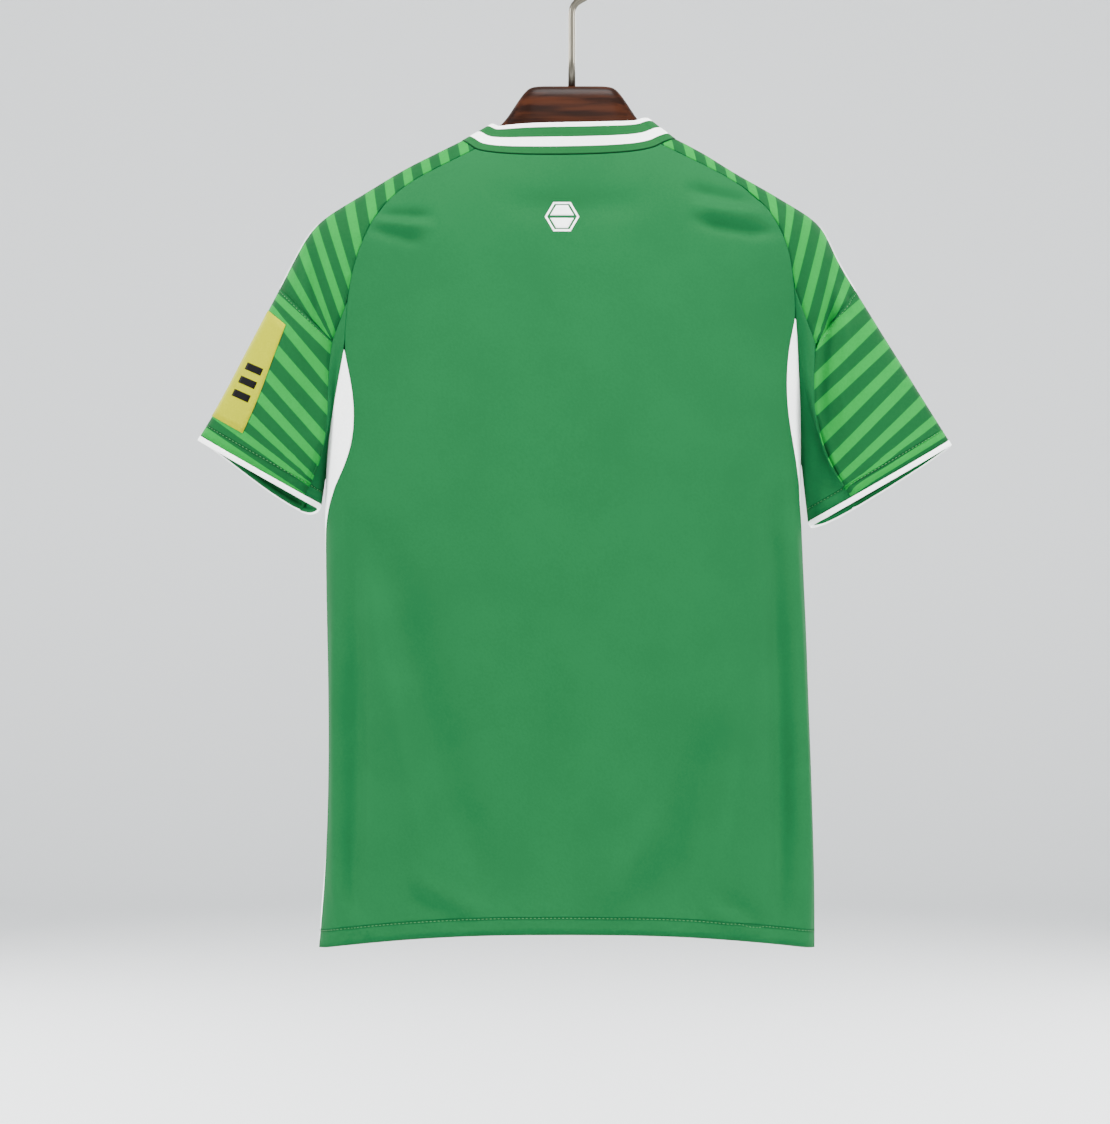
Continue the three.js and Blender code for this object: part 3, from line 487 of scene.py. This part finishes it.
def number_bars(obj, bars):
    """Stores each point's bar number: whole on a bar's middle line, a half between two bars."""
    places, _ = points_of(obj)
    flat = places[:, [0, 2]] / MM
    lines = [(np.array(start), np.array(end)) for start, end in bars]
    middles = [(start + end) / 2 for start, end in lines]
    away = []
    for k, (start, end) in enumerate(lines):
        step = (end - start) / np.hypot(*(end - start))
        onward = middles[min(k + 1, len(bars) - 1)] - middles[max(k - 1, 0)]
        normal = np.array([step[1], -step[0]])
        normal *= np.sign(normal @ onward)
        away.append((flat - start) @ normal)
    first = np.maximum(away[0] / BAR_SPACING, -HALF_BAR)
    last = len(bars) - 1 + np.minimum(away[-1] / BAR_SPACING, HALF_BAR)
    number = np.where(first < 0, first, last)
    for k in range(len(bars) - 1):
        between = (away[k] >= 0) & (away[k + 1] < 0)
        share = away[k] / np.where(between, away[k] - away[k + 1], 1)
        number = np.where(between, k + share, number)
    layer = obj.data.attributes.new("bar_number", "FLOAT", "POINT")
    layer.data.foreach_set("value", number)


# Crisp bars in two greens: the light ones brighter, the dark ones near the body's green
striped_knit, tree, shader = new_material("striped_polyester_knit")
number = add_node(tree, "ShaderNodeAttribute", attribute_name="bar_number")
swing = add_node(
    tree, "ShaderNodeMath", {0: number.outputs["Fac"], 1: HALF_BAR}, operation="PINGPONG"
)
light = add_node(
    tree, "ShaderNodeMapRange",
    {
        "Value": swing.outputs[0], "From Min": BAR_EDGE[0], "From Max": BAR_EDGE[1],
        "To Min": 1.0, "To Max": 0.0,
    },
    interpolation_type="SMOOTHSTEP",
)
stripes = add_node(
    tree, "ShaderNodeMix",
    {0: light.outputs[0], 6: linear(STRIPE_DARK), 7: linear(STRIPE_LIGHT)}, data_type="RGBA",
)
knit_surface(tree, shader, stripes.outputs[2])


def striped(name, node, inside, bars):
    """A striped panel, with its bars numbered."""
    obj = cloth(name, node, inside, MEDIUM, striped_knit)
    number_bars(obj, bars)
    return obj


UNDER_RIDGE = Vector((0, 0, -60 * MM))
shoulder_left = striped(
    "shoulder_left_cloth", "shoulder_left", middle("shoulder_left") + UNDER_RIDGE,
    SHOULDER_BARS_LEFT,
)
shoulder_right = striped(
    "shoulder_right_cloth", "shoulder_right", middle("shoulder_right") + UNDER_RIDGE,
    SHOULDER_BARS_RIGHT,
)
sleeve_left = striped(
    "sleeve_left_cloth", "sleeve_left", middle("sleeve_left"), SLEEVE_BARS_LEFT
)
sleeve_right = striped(
    "sleeve_right_cloth", "sleeve_right", middle("sleeve_right"), SLEEVE_BARS_RIGHT
)

# Underarm gussets
# A plain strip of the body's green knit closes each sleeve underneath. It is sewn in between the
# sleeve and the body, from the side panel's tip to the cuff.
gusset_left = cloth(
    "underarm_left_cloth", "underarm_left", middle("sleeve_left"),
    MEDIUM, green_knit,
)
gusset_right = cloth(
    "underarm_right_cloth", "underarm_right", middle("sleeve_right"),
    MEDIUM, green_knit,
)

# Cuffs
# Narrow trims of white polyester rib, folded double and sewn round the end of each sleeve.
# The rib stretches, so that it lies flat on the sleeve's edge.
RIB_THICKNESS = 1.9 * MM
RIB_WALL = 2.0
RIB_GRAIN = 1.2 * MM

# Bright white rib, with a finer grain than the knit
white_rib, tree, shader = new_material("white_rib_trim")
knit_surface(tree, shader, linear(WHITE), grain=RIB_GRAIN)


def trim(name, node):
    """A rib ring made from the outer side of its node."""
    obj = show(name, outer_side(node, middle(node), RIB_WALL))
    refine(obj, MEDIUM)
    return finish_cloth(obj, node, white_rib, RIB_THICKNESS)


cuff_left = trim("cuff_left_trim", "cuff_left")
cuff_right = trim("cuff_right_trim", "cuff_right")

# Collar
# A crew collar of polyester rib, knitted in green and white bands, folded double and sewn to the
# neck as one ring.
BASE_REACH = 2.5 * MM
COLLAR_GRAIN = 1.3 * MM
COLLAR_RELIEF = 0.35 * MM
# The bands, lowest first: share of the height where each ends, and its colour
COLLAR_GREEN = "164D27"
COLLAR_BANDS = [
    (0.02, "10341C"), (0.25, COLLAR_GREEN), (0.545, WHITE), (0.86, COLLAR_GREEN), (1.0, WHITE),
]


def store_height(obj, base):
    """Stores how far up a ring each point lies: 0 at the edge on its base, 1 at the other."""
    places, _ = points_of(obj)
    mesh = bmesh.new()
    mesh.from_mesh(obj.data)
    edge = [v.index for v in mesh.verts if v.is_boundary]
    mesh.free()
    gaps = np.array([base.find_nearest(Vector(places[i]))[3] for i in edge])
    low = places[np.array(edge)[gaps < BASE_REACH]]
    high = places[np.array(edge)[gaps >= BASE_REACH]]
    near_low = np.array([np.min(np.linalg.norm(low - p, axis=1)) for p in places])
    near_high = np.array([np.min(np.linalg.norm(high - p, axis=1)) for p in places])
    layer = obj.data.attributes.new("height", "FLOAT", "POINT")
    layer.data.foreach_set("value", near_low / (near_low + near_high))


def tree_of(*objs):
    """One search tree over the sheets of several objects."""
    places, faces = [], []
    for obj in objs:
        start = len(places)
        places += [v.co.copy() for v in obj.data.vertices]
        faces += [[start + i for i in p.vertices] for p in obj.data.polygons]
    return BVHTree.FromPolygons(places, faces)


# Matt rib with crisp green and white bands round the neck
collar_rib, tree, shader = new_material("banded_collar_rib")
height = add_node(tree, "ShaderNodeAttribute", attribute_name="height").outputs["Fac"]
bands = add_node(tree, "ShaderNodeValToRGB", {"Fac": height})
bands.color_ramp.interpolation = "CONSTANT"
starts = [0.0] + [end for end, _ in COLLAR_BANDS[:-1]]
for i, (start, (_, colour)) in enumerate(zip(starts, COLLAR_BANDS)):
    stop = bands.color_ramp.elements[0] if i == 0 else bands.color_ramp.elements.new(start)
    stop.position = start
    stop.color = linear(colour)
bands.color_ramp.elements.remove(bands.color_ramp.elements[-1])
knit_surface(tree, shader, bands.outputs[0], grain=COLLAR_GRAIN, depth=COLLAR_RELIEF)

body_cloth = tree_of(back, front, shoulder_left, shoulder_right)
collar = show("collar_rib", outer_side("collar", middle("collar"), RIB_WALL))
refine(collar, FINE)
store_height(collar, body_cloth)
finish_cloth(collar, "collar", collar_rib, RIB_THICKNESS)

# Shoulder tapes and sleeve patch
# A plain white knit tape lies along the end of each shoulder ridge, and a plain yellow film is
# pressed on one sleeve as a patch. Both are thin and bonded to the cloth by heat.
LAID_THICKNESS = 0.5 * MM
LAID_RISE = 0.6 * MM
LAID_WALL = 1.0
FILM_GRAIN = 2.0 * MM
FILM_RELIEF = 0.1 * MM
FILM_ROUGHNESS = 0.7
YELLOW = "8F9100"


def laid_on(name, node, inside, carrier, material):
    """A thin piece pressed flat on the cloth that carries it."""
    obj = show(name, outer_side(node, inside, LAID_WALL))
    refine(obj, MEDIUM)
    ground = tree_of(carrier)
    for vertex in obj.data.vertices:
        place, normal, _, _ = ground.find_nearest(vertex.co)
        vertex.co = place + normal * LAID_RISE
    obj.data.update()
    return finish_cloth(obj, node, material, LAID_THICKNESS)


# Strong yellow film, satin, with the knit showing through it only faintly
yellow_print, tree, shader = new_material("yellow_heat_print")
knit_surface(tree, shader, linear(YELLOW), grain=FILM_GRAIN, depth=FILM_RELIEF)
shader.inputs["Roughness"].default_value = FILM_ROUGHNESS
tape_left = laid_on(
    "shoulder_tape_left_band", "shoulder_tape_left", middle("shoulder_left") + UNDER_RIDGE,
    shoulder_left, white_knit,
)
tape_right = laid_on(
    "shoulder_tape_right_band", "shoulder_tape_right", middle("shoulder_right") + UNDER_RIDGE,
    shoulder_right, white_knit,
)
patch = laid_on(
    "sleeve_patch_print", "sleeve_patch", middle("sleeve_left"),
    sleeve_left, yellow_print,
)

# Sewing
# Rows of lock stitches in green polyester thread: along the turned-up hem, above the cuffs and
# along the cross seams of the sleeves. They draw the knit into a shallow groove, and painted shade
# darkens the knit's colour in it.
# Distance of each kind of row from the panel's edge, in millimetres
HEM_ROW = 15.0
CUFF_ROW = 10.5
CROSS_ROW = 2.0
# Open edges below this height belong to the hem
HEM_TOP = -868 * MM
# Edges this close to another sheet are sewn to it
EDGE_REACH = 1.6 * MM
# A row marks the cloth this far round it, up to this multiple of its distance from the edge
ROW_REACH = 50 * MM
ROW_LIMIT = 4.0
# Stitches are drawn thicker than real thread, so that they show
STITCH_PITCH = 3.6 * MM
STITCH_LENGTH = 2.7 * MM
STITCH_WIDTH = 0.38 * MM
STITCH_LIFT = 0.12 * MM
THREAD_GREEN = "256C35"
THREAD_ROUGHNESS = 0.6


def is_hem(first, second):
    """True for an open edge that runs along the hem."""
    level = (first.xy - second.xy).length
    return max(first.z, second.z) < HEM_TOP and abs(first.z - second.z) < level


def is_near(tree):
    """A test for open edges that lie on another sheet."""
    return lambda *ends: all(tree.find_nearest(end)[3] < EDGE_REACH for end in ends)


def sewn_rows(obj, test, offset):
    """Rows of places, with the way out at each, that keep an offset from the open edges."""
    mesh = bmesh.new()
    mesh.from_mesh(obj.data)
    ground = BVHTree.FromBMesh(mesh)
    edges = [e for e in mesh.edges if e.is_boundary and test(e.verts[0].co, e.verts[1].co)]
    links = {}
    for edge in edges:
        for vert in edge.verts:
            links.setdefault(vert, []).append(edge)
    left, rows = set(edges), []
    while left:
        loose = [v for v in links if sum(e in left for e in links[v]) == 1]
        here = loose[0] if loose else next(v for v in links if any(e in left for e in links[v]))
        row = []
        onward = [e for e in links[here] if e in left]
        while onward:
            edge = onward[0]
            left.remove(edge)
            first, second = (v.co for v in edge.verts)
            seat = (first + second) / 2
            along = (second - first).normalized()
            inward = edge.link_faces[0].calc_center_median() - seat
            inward -= along * inward.dot(along)
            place, normal, _, _ = ground.find_nearest(seat + inward.normalized() * offset * MM)
            row.append((place, normal, seat))
            here = edge.other_vert(here)
            onward = [e for e in links.get(here, ()) if e in left]
        rows.append(row)
    mesh.free()
    return rows


def mark_row(obj, rows, offset):
    """Stores the distance of each point from the sewn edge, as a multiple of the row's offset."""
    edge = np.array([seat for row in rows for _, _, seat in row])
    places, _ = points_of(obj)
    value = np.full(len(places), ROW_LIMIT)
    low = edge.min(axis=0) - ROW_REACH
    high = edge.max(axis=0) + ROW_REACH
    for i in np.nonzero(np.all((places > low) & (places < high), axis=1))[0]:
        nearest = np.min(np.linalg.norm(edge - places[i], axis=1))
        value[i] = min(ROW_LIMIT, nearest / (offset * MM))
    layer = obj.data.attributes.new("sewn_row", "FLOAT", "POINT")
    layer.data.foreach_set("value", value)


def stitched(name, rows, material):
    """Small thread loops at an even pitch along rows of places."""
    thread = bmesh.new()
    for row in rows:
        travelled, due = 0.0, STITCH_PITCH / 2
        for (first, out_first, _), (second, out_second, _) in zip(row, row[1:]):
            step = (second - first).length
            while step > 0 and due <= travelled + step:
                share = (due - travelled) / step
                out = out_first.lerp(out_second, share).normalized()
                centre = first.lerp(second, share) + out * STITCH_LIFT
                along = (second - first).normalized()
                side = out.cross(along)
                half = along * STITCH_LENGTH / 2
                ends = [thread.verts.new(centre - half), thread.verts.new(centre + half)]
                ways = (side, out, -side, -out)
                ring = [thread.verts.new(centre + way * STITCH_WIDTH) for way in ways]
                for k in range(4):
                    thread.faces.new((ends[0], ring[(k + 1) % 4], ring[k]))
                    thread.faces.new((ends[1], ring[k], ring[(k + 1) % 4]))
                due += STITCH_PITCH
            travelled += step
    bmesh.ops.recalc_face_normals(thread, faces=thread.faces)
    obj = show(name, thread)
    obj.data.materials.append(material)
    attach(obj, "root")
    return obj


def plain_material(name, colour, roughness, **others):
    """A material of one colour, with other values of its shader by name."""
    material, _, shader = new_material(name)
    shader.inputs["Base Color"].default_value = linear(colour)
    shader.inputs["Roughness"].default_value = roughness
    for key, value in others.items():
        shader.inputs[key.replace("_", " ")].default_value = value
    return material


# Green polyester thread, a little lighter than the knit and slightly smoother
thread_green = plain_material("green_sewing_thread", THREAD_GREEN, THREAD_ROUGHNESS)
hem_rows = []
for piece in (back, front, side_left, side_right):
    rows = sewn_rows(piece, is_hem, HEM_ROW)
    mark_row(piece, rows, HEM_ROW)
    hem_rows += rows
hem_stitches = stitched("hem_stitches", hem_rows, thread_green)
for side, sleeve, gusset, cuff, shoulder in (
    ("left", sleeve_left, gusset_left, cuff_left, shoulder_left),
    ("right", sleeve_right, gusset_right, cuff_right, shoulder_right),
):
    arm_rows = []
    for piece in (sleeve, gusset):
        rows = sewn_rows(piece, is_near(tree_of(cuff)), CUFF_ROW)
        mark_row(piece, rows, CUFF_ROW)
        arm_rows += rows
    arm_rows += sewn_rows(sleeve, is_near(tree_of(shoulder)), CROSS_ROW)
    stitched(f"sleeve_{side}_stitches", arm_rows, thread_green)

# Seam allowances
# The cut edges of the panels are turned under their neighbours along every seam, as a sewn
# seam allowance is, so that no light passes between two panels.
ALLOWANCE = 4.0 * MM
UNDER = 1.9 * MM


def turn_under(obj, tree):
    """Adds a strip along the open edges that lie on other sheets, and runs it beneath them."""
    is_sewn = is_near(tree)
    mesh = bmesh.new()
    mesh.from_mesh(obj.data)
    mesh.normal_update()
    edges = [e for e in mesh.edges if e.is_boundary and is_sewn(*(v.co for v in e.verts))]
    outward = {}
    for edge in edges:
        first, second = (v.co for v in edge.verts)
        along = (second - first).normalized()
        away = (first + second) / 2 - edge.link_faces[0].calc_center_median()
        away -= along * away.dot(along)
        for vert in edge.verts:
            outward[vert] = outward.get(vert, Vector()) + away.normalized()
    strips = {}
    for vert, away in outward.items():
        seat, slope, _, _ = tree.find_nearest(vert.co)
        place, normal, _, _ = tree.find_nearest(vert.co + away.normalized() * ALLOWANCE)
        under = mesh.verts.new(seat - (vert.normal + slope).normalized() * UNDER)
        end = mesh.verts.new(place - normal * UNDER)
        for layer in mesh.verts.layers.float.values():
            under[layer] = end[layer] = vert[layer]
        strips[vert] = (vert, under, end)
    for edge in edges:
        loop = edge.link_loops[0]
        first, second = strips[loop.vert], strips[loop.link_loop_next.vert]
        for near, far in ((0, 1), (1, 2)):
            mesh.faces.new((second[near], first[near], first[far], second[far]))
    for face in mesh.faces:
        face.smooth = True
    mesh.to_mesh(obj.data)
    mesh.free()
    obj.data.update()


# Each panel with those that it is turned under; all trees are made before the first strip
body_edges = (
    collar, shoulder_left, shoulder_right, gusset_left, gusset_right, side_left, side_right
)
SEAMS = [
    (back, body_edges),
    (front, body_edges),
    (shoulder_left, (collar, gusset_left)),
    (shoulder_right, (collar, gusset_right)),
    (sleeve_left, (shoulder_left, gusset_left, cuff_left)),
    (sleeve_right, (shoulder_right, gusset_right, cuff_right)),
    (gusset_left, (side_left, cuff_left)),
    (gusset_right, (side_right, cuff_right)),
]
seam_trees = [(piece, tree_of(*neighbours)) for piece, neighbours in SEAMS]
for piece, neighbours in seam_trees:
    turn_under(piece, neighbours)

# Small prints
# Thin films pressed on by heat: a plain white six-sided mark with a bar below the collar, and
# three short black bars on the yellow patch.
FILM_START = -0.3
FILM_CUTS = 4
PRINT_RISE = 0.25 * MM
FILM_THICKNESS = 0.15 * MM
# The mark in millimetres: centre, radii of its ring and its core, half width of the core's gap
MARK_CENTRE = (-9.0, -234.0)
MARK_OUTER = 15.5
MARK_INNER = 13.4
MARK_CORE = 10.6
MARK_SPLIT = 1.3
SIXTH = 60
# The patch in millimetres, clockwise from its top left, and its bars in shares of its size
PATCH_CORNERS = [(-277.2, -315.9), (-252.0, -326.7), (-292.1, -413.6), (-319.9, -400.9)]
PATCH_BARS = [(0.52, 0.59), (0.66, 0.73), (0.80, 0.87)]
BAR_START = 0.22
BAR_END = 0.78
INK = "060606"
INK_ROUGHNESS = 0.8
INK_GLOSS = 0.1


def printed(name, shapes, ground, material):
    """Four-sided shapes in x and z, pressed onto the sheet that lies behind them."""
    film = bmesh.new()
    for shape in shapes:
        film.faces.new([film.verts.new((x * MM, FILM_START, z * MM)) for x, z in shape])
    bmesh.ops.subdivide_edges(film, edges=film.edges, cuts=FILM_CUTS, use_grid_fill=True)
    for vert in film.verts:
        place, normal, _, _ = ground.ray_cast(vert.co, Vector((0, 1, 0)))
        if place is None:
            place, normal, _, _ = ground.find_nearest(vert.co)
        vert.co = place + normal * PRINT_RISE
    film.normal_update()
    for face in film.faces:
        if face.normal.y > 0:
            face.normal_flip()
    obj = show(name, film)
    give_thickness(obj, FILM_THICKNESS)
    obj.data.materials.append(material)
    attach(obj, "root")
    return obj


def on_mark(radius, degrees, lift=0.0):
    """A place on a circle round the mark's centre, lifted if asked."""
    turn = math.radians(degrees)
    across = MARK_CENTRE[0] + radius * math.cos(turn)
    return (across, MARK_CENTRE[1] + radius * math.sin(turn) + lift)


def on_patch(across, down):
    """A place on the patch by its shares across and down."""
    top_left, top_right, low_right, low_left = (np.array(c) for c in PATCH_CORNERS)
    top = top_left + (top_right - top_left) * across
    low = low_left + (low_right - low_left) * across
    return tuple(top + (low - top) * down)


mark_shapes = []
for turn in range(0, 360, SIXTH):
    outer = [on_mark(MARK_OUTER, turn), on_mark(MARK_OUTER, turn + SIXTH)]
    mark_shapes.append(outer + [on_mark(MARK_INNER, turn + SIXTH), on_mark(MARK_INNER, turn)])
for half, lift in ((0, MARK_SPLIT), (3, -MARK_SPLIT)):
    turns = [SIXTH * corner for corner in range(half, half + 4)]
    mark_shapes.append([on_mark(MARK_CORE, turn, lift) for turn in turns])
printed("neck_mark_print", mark_shapes, tree_of(back), white_knit)

# Matt black ink, with hardly any gloss
black_ink = plain_material("black_ink", INK, INK_ROUGHNESS, Specular_IOR_Level=INK_GLOSS)
bars = []
for start, end in PATCH_BARS:
    upper = [on_patch(BAR_START, start), on_patch(BAR_END, start)]
    bars.append(upper + [on_patch(BAR_END, end), on_patch(BAR_START, end)])
printed("patch_bars_print", bars, tree_of(patch), black_ink)

# Hanger
# A wide-shouldered hanger of dark walnut, sawn, rounded over and varnished. It fills the
# shoulders of the jersey and carries its whole weight.
WOOD_MERGE = 0.02 * MM
WOOD_TURN = math.radians(40)
WOOD_SKEW = math.radians(60)
# Grain of the wood: how fine it is along and across the hanger, and where light turns to dark
GRAIN_SCALE = (12, 160, 160)
WOOD_DETAIL = 6.0
STREAKS = (0.4, 0.62)
WOOD_DARK = "180A05"
WOOD_RED = "33180B"
WOOD_ROUGHNESS = 0.42
WOOD_GLOSS = 0.05
VARNISH_WEIGHT = 0.03
VARNISH_ROUGHNESS = 0.2

wood = bmesh.new()
wood.from_mesh(bpy.data.objects["hanger"].data)
bmesh.ops.remove_doubles(wood, verts=wood.verts, dist=WOOD_MERGE)
bmesh.ops.join_triangles(
    wood, faces=wood.faces, angle_face_threshold=WOOD_TURN, angle_shape_threshold=WOOD_SKEW
)
hanger = show("hanger_wood", wood)
rounding = hanger.modifiers.new("Rounding", "SUBSURF")
rounding.levels = rounding.render_levels = MEDIUM

# Dark walnut under satin varnish, with reddish streaks along the grain
dark_wood, tree, shader = new_material("varnished_dark_wood")
place = add_node(tree, "ShaderNodeTexCoord").outputs["Object"]
stretched = add_node(tree, "ShaderNodeMapping", {"Vector": place, "Scale": GRAIN_SCALE})
grain = add_node(
    tree, "ShaderNodeTexNoise",
    {"Vector": stretched.outputs[0], "Scale": 1.0, "Detail": WOOD_DETAIL},
)
streak = add_node(
    tree, "ShaderNodeMapRange",
    {"Value": grain.outputs[0], "From Min": STREAKS[0], "From Max": STREAKS[1]},
)
wood_colour = add_node(
    tree, "ShaderNodeMix",
    {0: streak.outputs[0], 6: linear(WOOD_DARK), 7: linear(WOOD_RED)}, data_type="RGBA",
)
tree.links.new(wood_colour.outputs[2], shader.inputs["Base Color"])
shader.inputs["Roughness"].default_value = WOOD_ROUGHNESS
shader.inputs["Specular IOR Level"].default_value = WOOD_GLOSS
shader.inputs["Coat Weight"].default_value = VARNISH_WEIGHT
shader.inputs["Coat Roughness"].default_value = VARNISH_ROUGHNESS
hanger.data.materials.clear()
hanger.data.materials.append(dark_wood)
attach(hanger, "root")
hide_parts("hanger")

# Hook
# One steel wire, nickel plated and brushed, bent to a hook and screwed into the top of the
# hanger. It tapers a little at its tip.
HOOK_RADIUS = 3.3
HOOK_INSIDE = 15.0
HOOK_SIDES = 20
HOOK_TIP = 0.72
# The stem in millimetres, x and z, up to where the round bend starts
HOOK_STEM = [
    (0, -112), (0, -84), (0, -60), (0, -46), (0.1, -42), (0.8, -38.9), (2.2, -35.9),
    (4.3, -33.4), (7.6, -31.2),
]
# Start, end and step of the round bend in degrees
HOOK_BEND = (-50, 216, 6)
NICKEL = "5E5A51"
NICKEL_ROUGHNESS = 0.34

hook_line = list(HOOK_STEM)
reach = HOOK_INSIDE + HOOK_RADIUS
for degrees in range(*HOOK_BEND):
    turn = math.radians(degrees)
    hook_line.append((reach * math.cos(turn), reach * math.sin(turn) - HOOK_INSIDE))
wire = bmesh.new()
rings = []
for i, (x, z) in enumerate(hook_line):
    ahead = Vector(hook_line[min(i + 1, len(hook_line) - 1)])
    behind = Vector(hook_line[max(i - 1, 0)])
    along = (ahead - behind).normalized()
    radius = HOOK_RADIUS * (HOOK_TIP if i == len(hook_line) - 1 else 1.0)
    ring = []
    for k in range(HOOK_SIDES):
        turn = 2 * math.pi * k / HOOK_SIDES
        out = radius * math.cos(turn)
        place = Vector((x + along.y * out, radius * math.sin(turn), z - along.x * out))
        ring.append(wire.verts.new(place * MM))
    rings.append(ring)
for near, far in zip(rings, rings[1:]):
    for k in range(HOOK_SIDES):
        following = (k + 1) % HOOK_SIDES
        wire.faces.new((near[k], near[following], far[following], far[k]))
wire.faces.new(rings[0])
wire.faces.new(rings[-1])
bmesh.ops.recalc_face_normals(wire, faces=wire.faces)
hook = show("hook_wire", wire)

# Satin nickel: warm grey, with soft highlights
nickel = plain_material("brushed_nickel", NICKEL, NICKEL_ROUGHNESS, Metallic=1.0)
hook.data.materials.append(nickel)
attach(hook, "root")
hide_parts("hook")

# Camera, lights and backdrop
# A level camera three metres behind the jersey, large soft lights, and one pale sheet of paper
# that runs from the floor up the wall.
CAMERA_DISTANCE = 3.0
FRAME_WIDTH = 0.999
VIEW_CENTRE = (-15.3 * MM, -0.04, -543.6 * MM)
LIGHT_AIM = Vector((0, 0, -500 * MM))
# Name, place in metres, size in metres and power in watts of each light
LIGHTS = [
    ("left_light", (-2.6, -1.2, 0.5), 1.0, 153),
    ("right_light", (2.6, -1.2, 0.3), 1.0, 138),
    ("front_light", (0.2, -3.6, 0.9), 1.6, 62),
    ("top_light", (0.1, -0.6, 1.5), 1.0, 101),
    ("far_left_light", (-2.2, 2.6, 0.4), 1.2, 136),
    ("far_right_light", (2.2, 2.6, 0.4), 1.2, 136),
]
SKY = "E9ECEE"
SKY_STRENGTH = 0.91
# The sweep in metres: its floor, wall and top, its near edge, half width and bend
FLOOR_Z = -1.32
WALL_Y = 5.4
SWEEP_TOP = 4.6
SWEEP_NEAR = -6.0
SWEEP_HALF = 6.5
BEND = 0.9
BEND_STEP = 10
PAPER = "F0F2F3"
PAPER_ROUGHNESS = 0.9

cam = bpy.data.cameras.new("camera")
cam.sensor_fit = "HORIZONTAL"
cam.lens = cam.sensor_width * CAMERA_DISTANCE / FRAME_WIDTH
camera = bpy.data.objects.new("camera", cam)
camera.location = (VIEW_CENTRE[0], VIEW_CENTRE[1] - CAMERA_DISTANCE, VIEW_CENTRE[2])
camera.rotation_euler = (math.pi / 2, 0, 0)
bpy.context.scene.collection.objects.link(camera)
bpy.context.scene.camera = camera

for name, place, size, watts in LIGHTS:
    lamp = bpy.data.lights.new(name, "AREA")
    lamp.size = size
    lamp.energy = watts
    light_object = bpy.data.objects.new(name, lamp)
    light_object.location = place
    aim = LIGHT_AIM - Vector(place)
    light_object.rotation_euler = aim.to_track_quat("-Z", "Y").to_euler()
    bpy.context.scene.collection.objects.link(light_object)
world = bpy.data.worlds.new("studio")
world.use_nodes = True
world.node_tree.nodes["Background"].inputs[0].default_value = linear(SKY)
world.node_tree.nodes["Background"].inputs[1].default_value = SKY_STRENGTH
bpy.context.scene.world = world

sweep = bmesh.new()
profile = [(SWEEP_NEAR, FLOOR_Z), (WALL_Y - BEND, FLOOR_Z)]
for degrees in range(BEND_STEP, 90 + 1, BEND_STEP):
    turn = math.radians(degrees)
    profile.append((WALL_Y - BEND + BEND * math.sin(turn), FLOOR_Z + BEND - BEND * math.cos(turn)))
profile.append((WALL_Y, SWEEP_TOP))
rows = [[sweep.verts.new((x, y, z)) for x in (-SWEEP_HALF, SWEEP_HALF)] for y, z in profile]
for low, high in zip(rows, rows[1:]):
    sweep.faces.new((low[0], low[1], high[1], high[0]))
backdrop = show("studio_sweep", sweep)
# Matt, nearly white paper
paper = plain_material("pale_paper", PAPER, PAPER_ROUGHNESS)
backdrop.data.materials.append(paper)
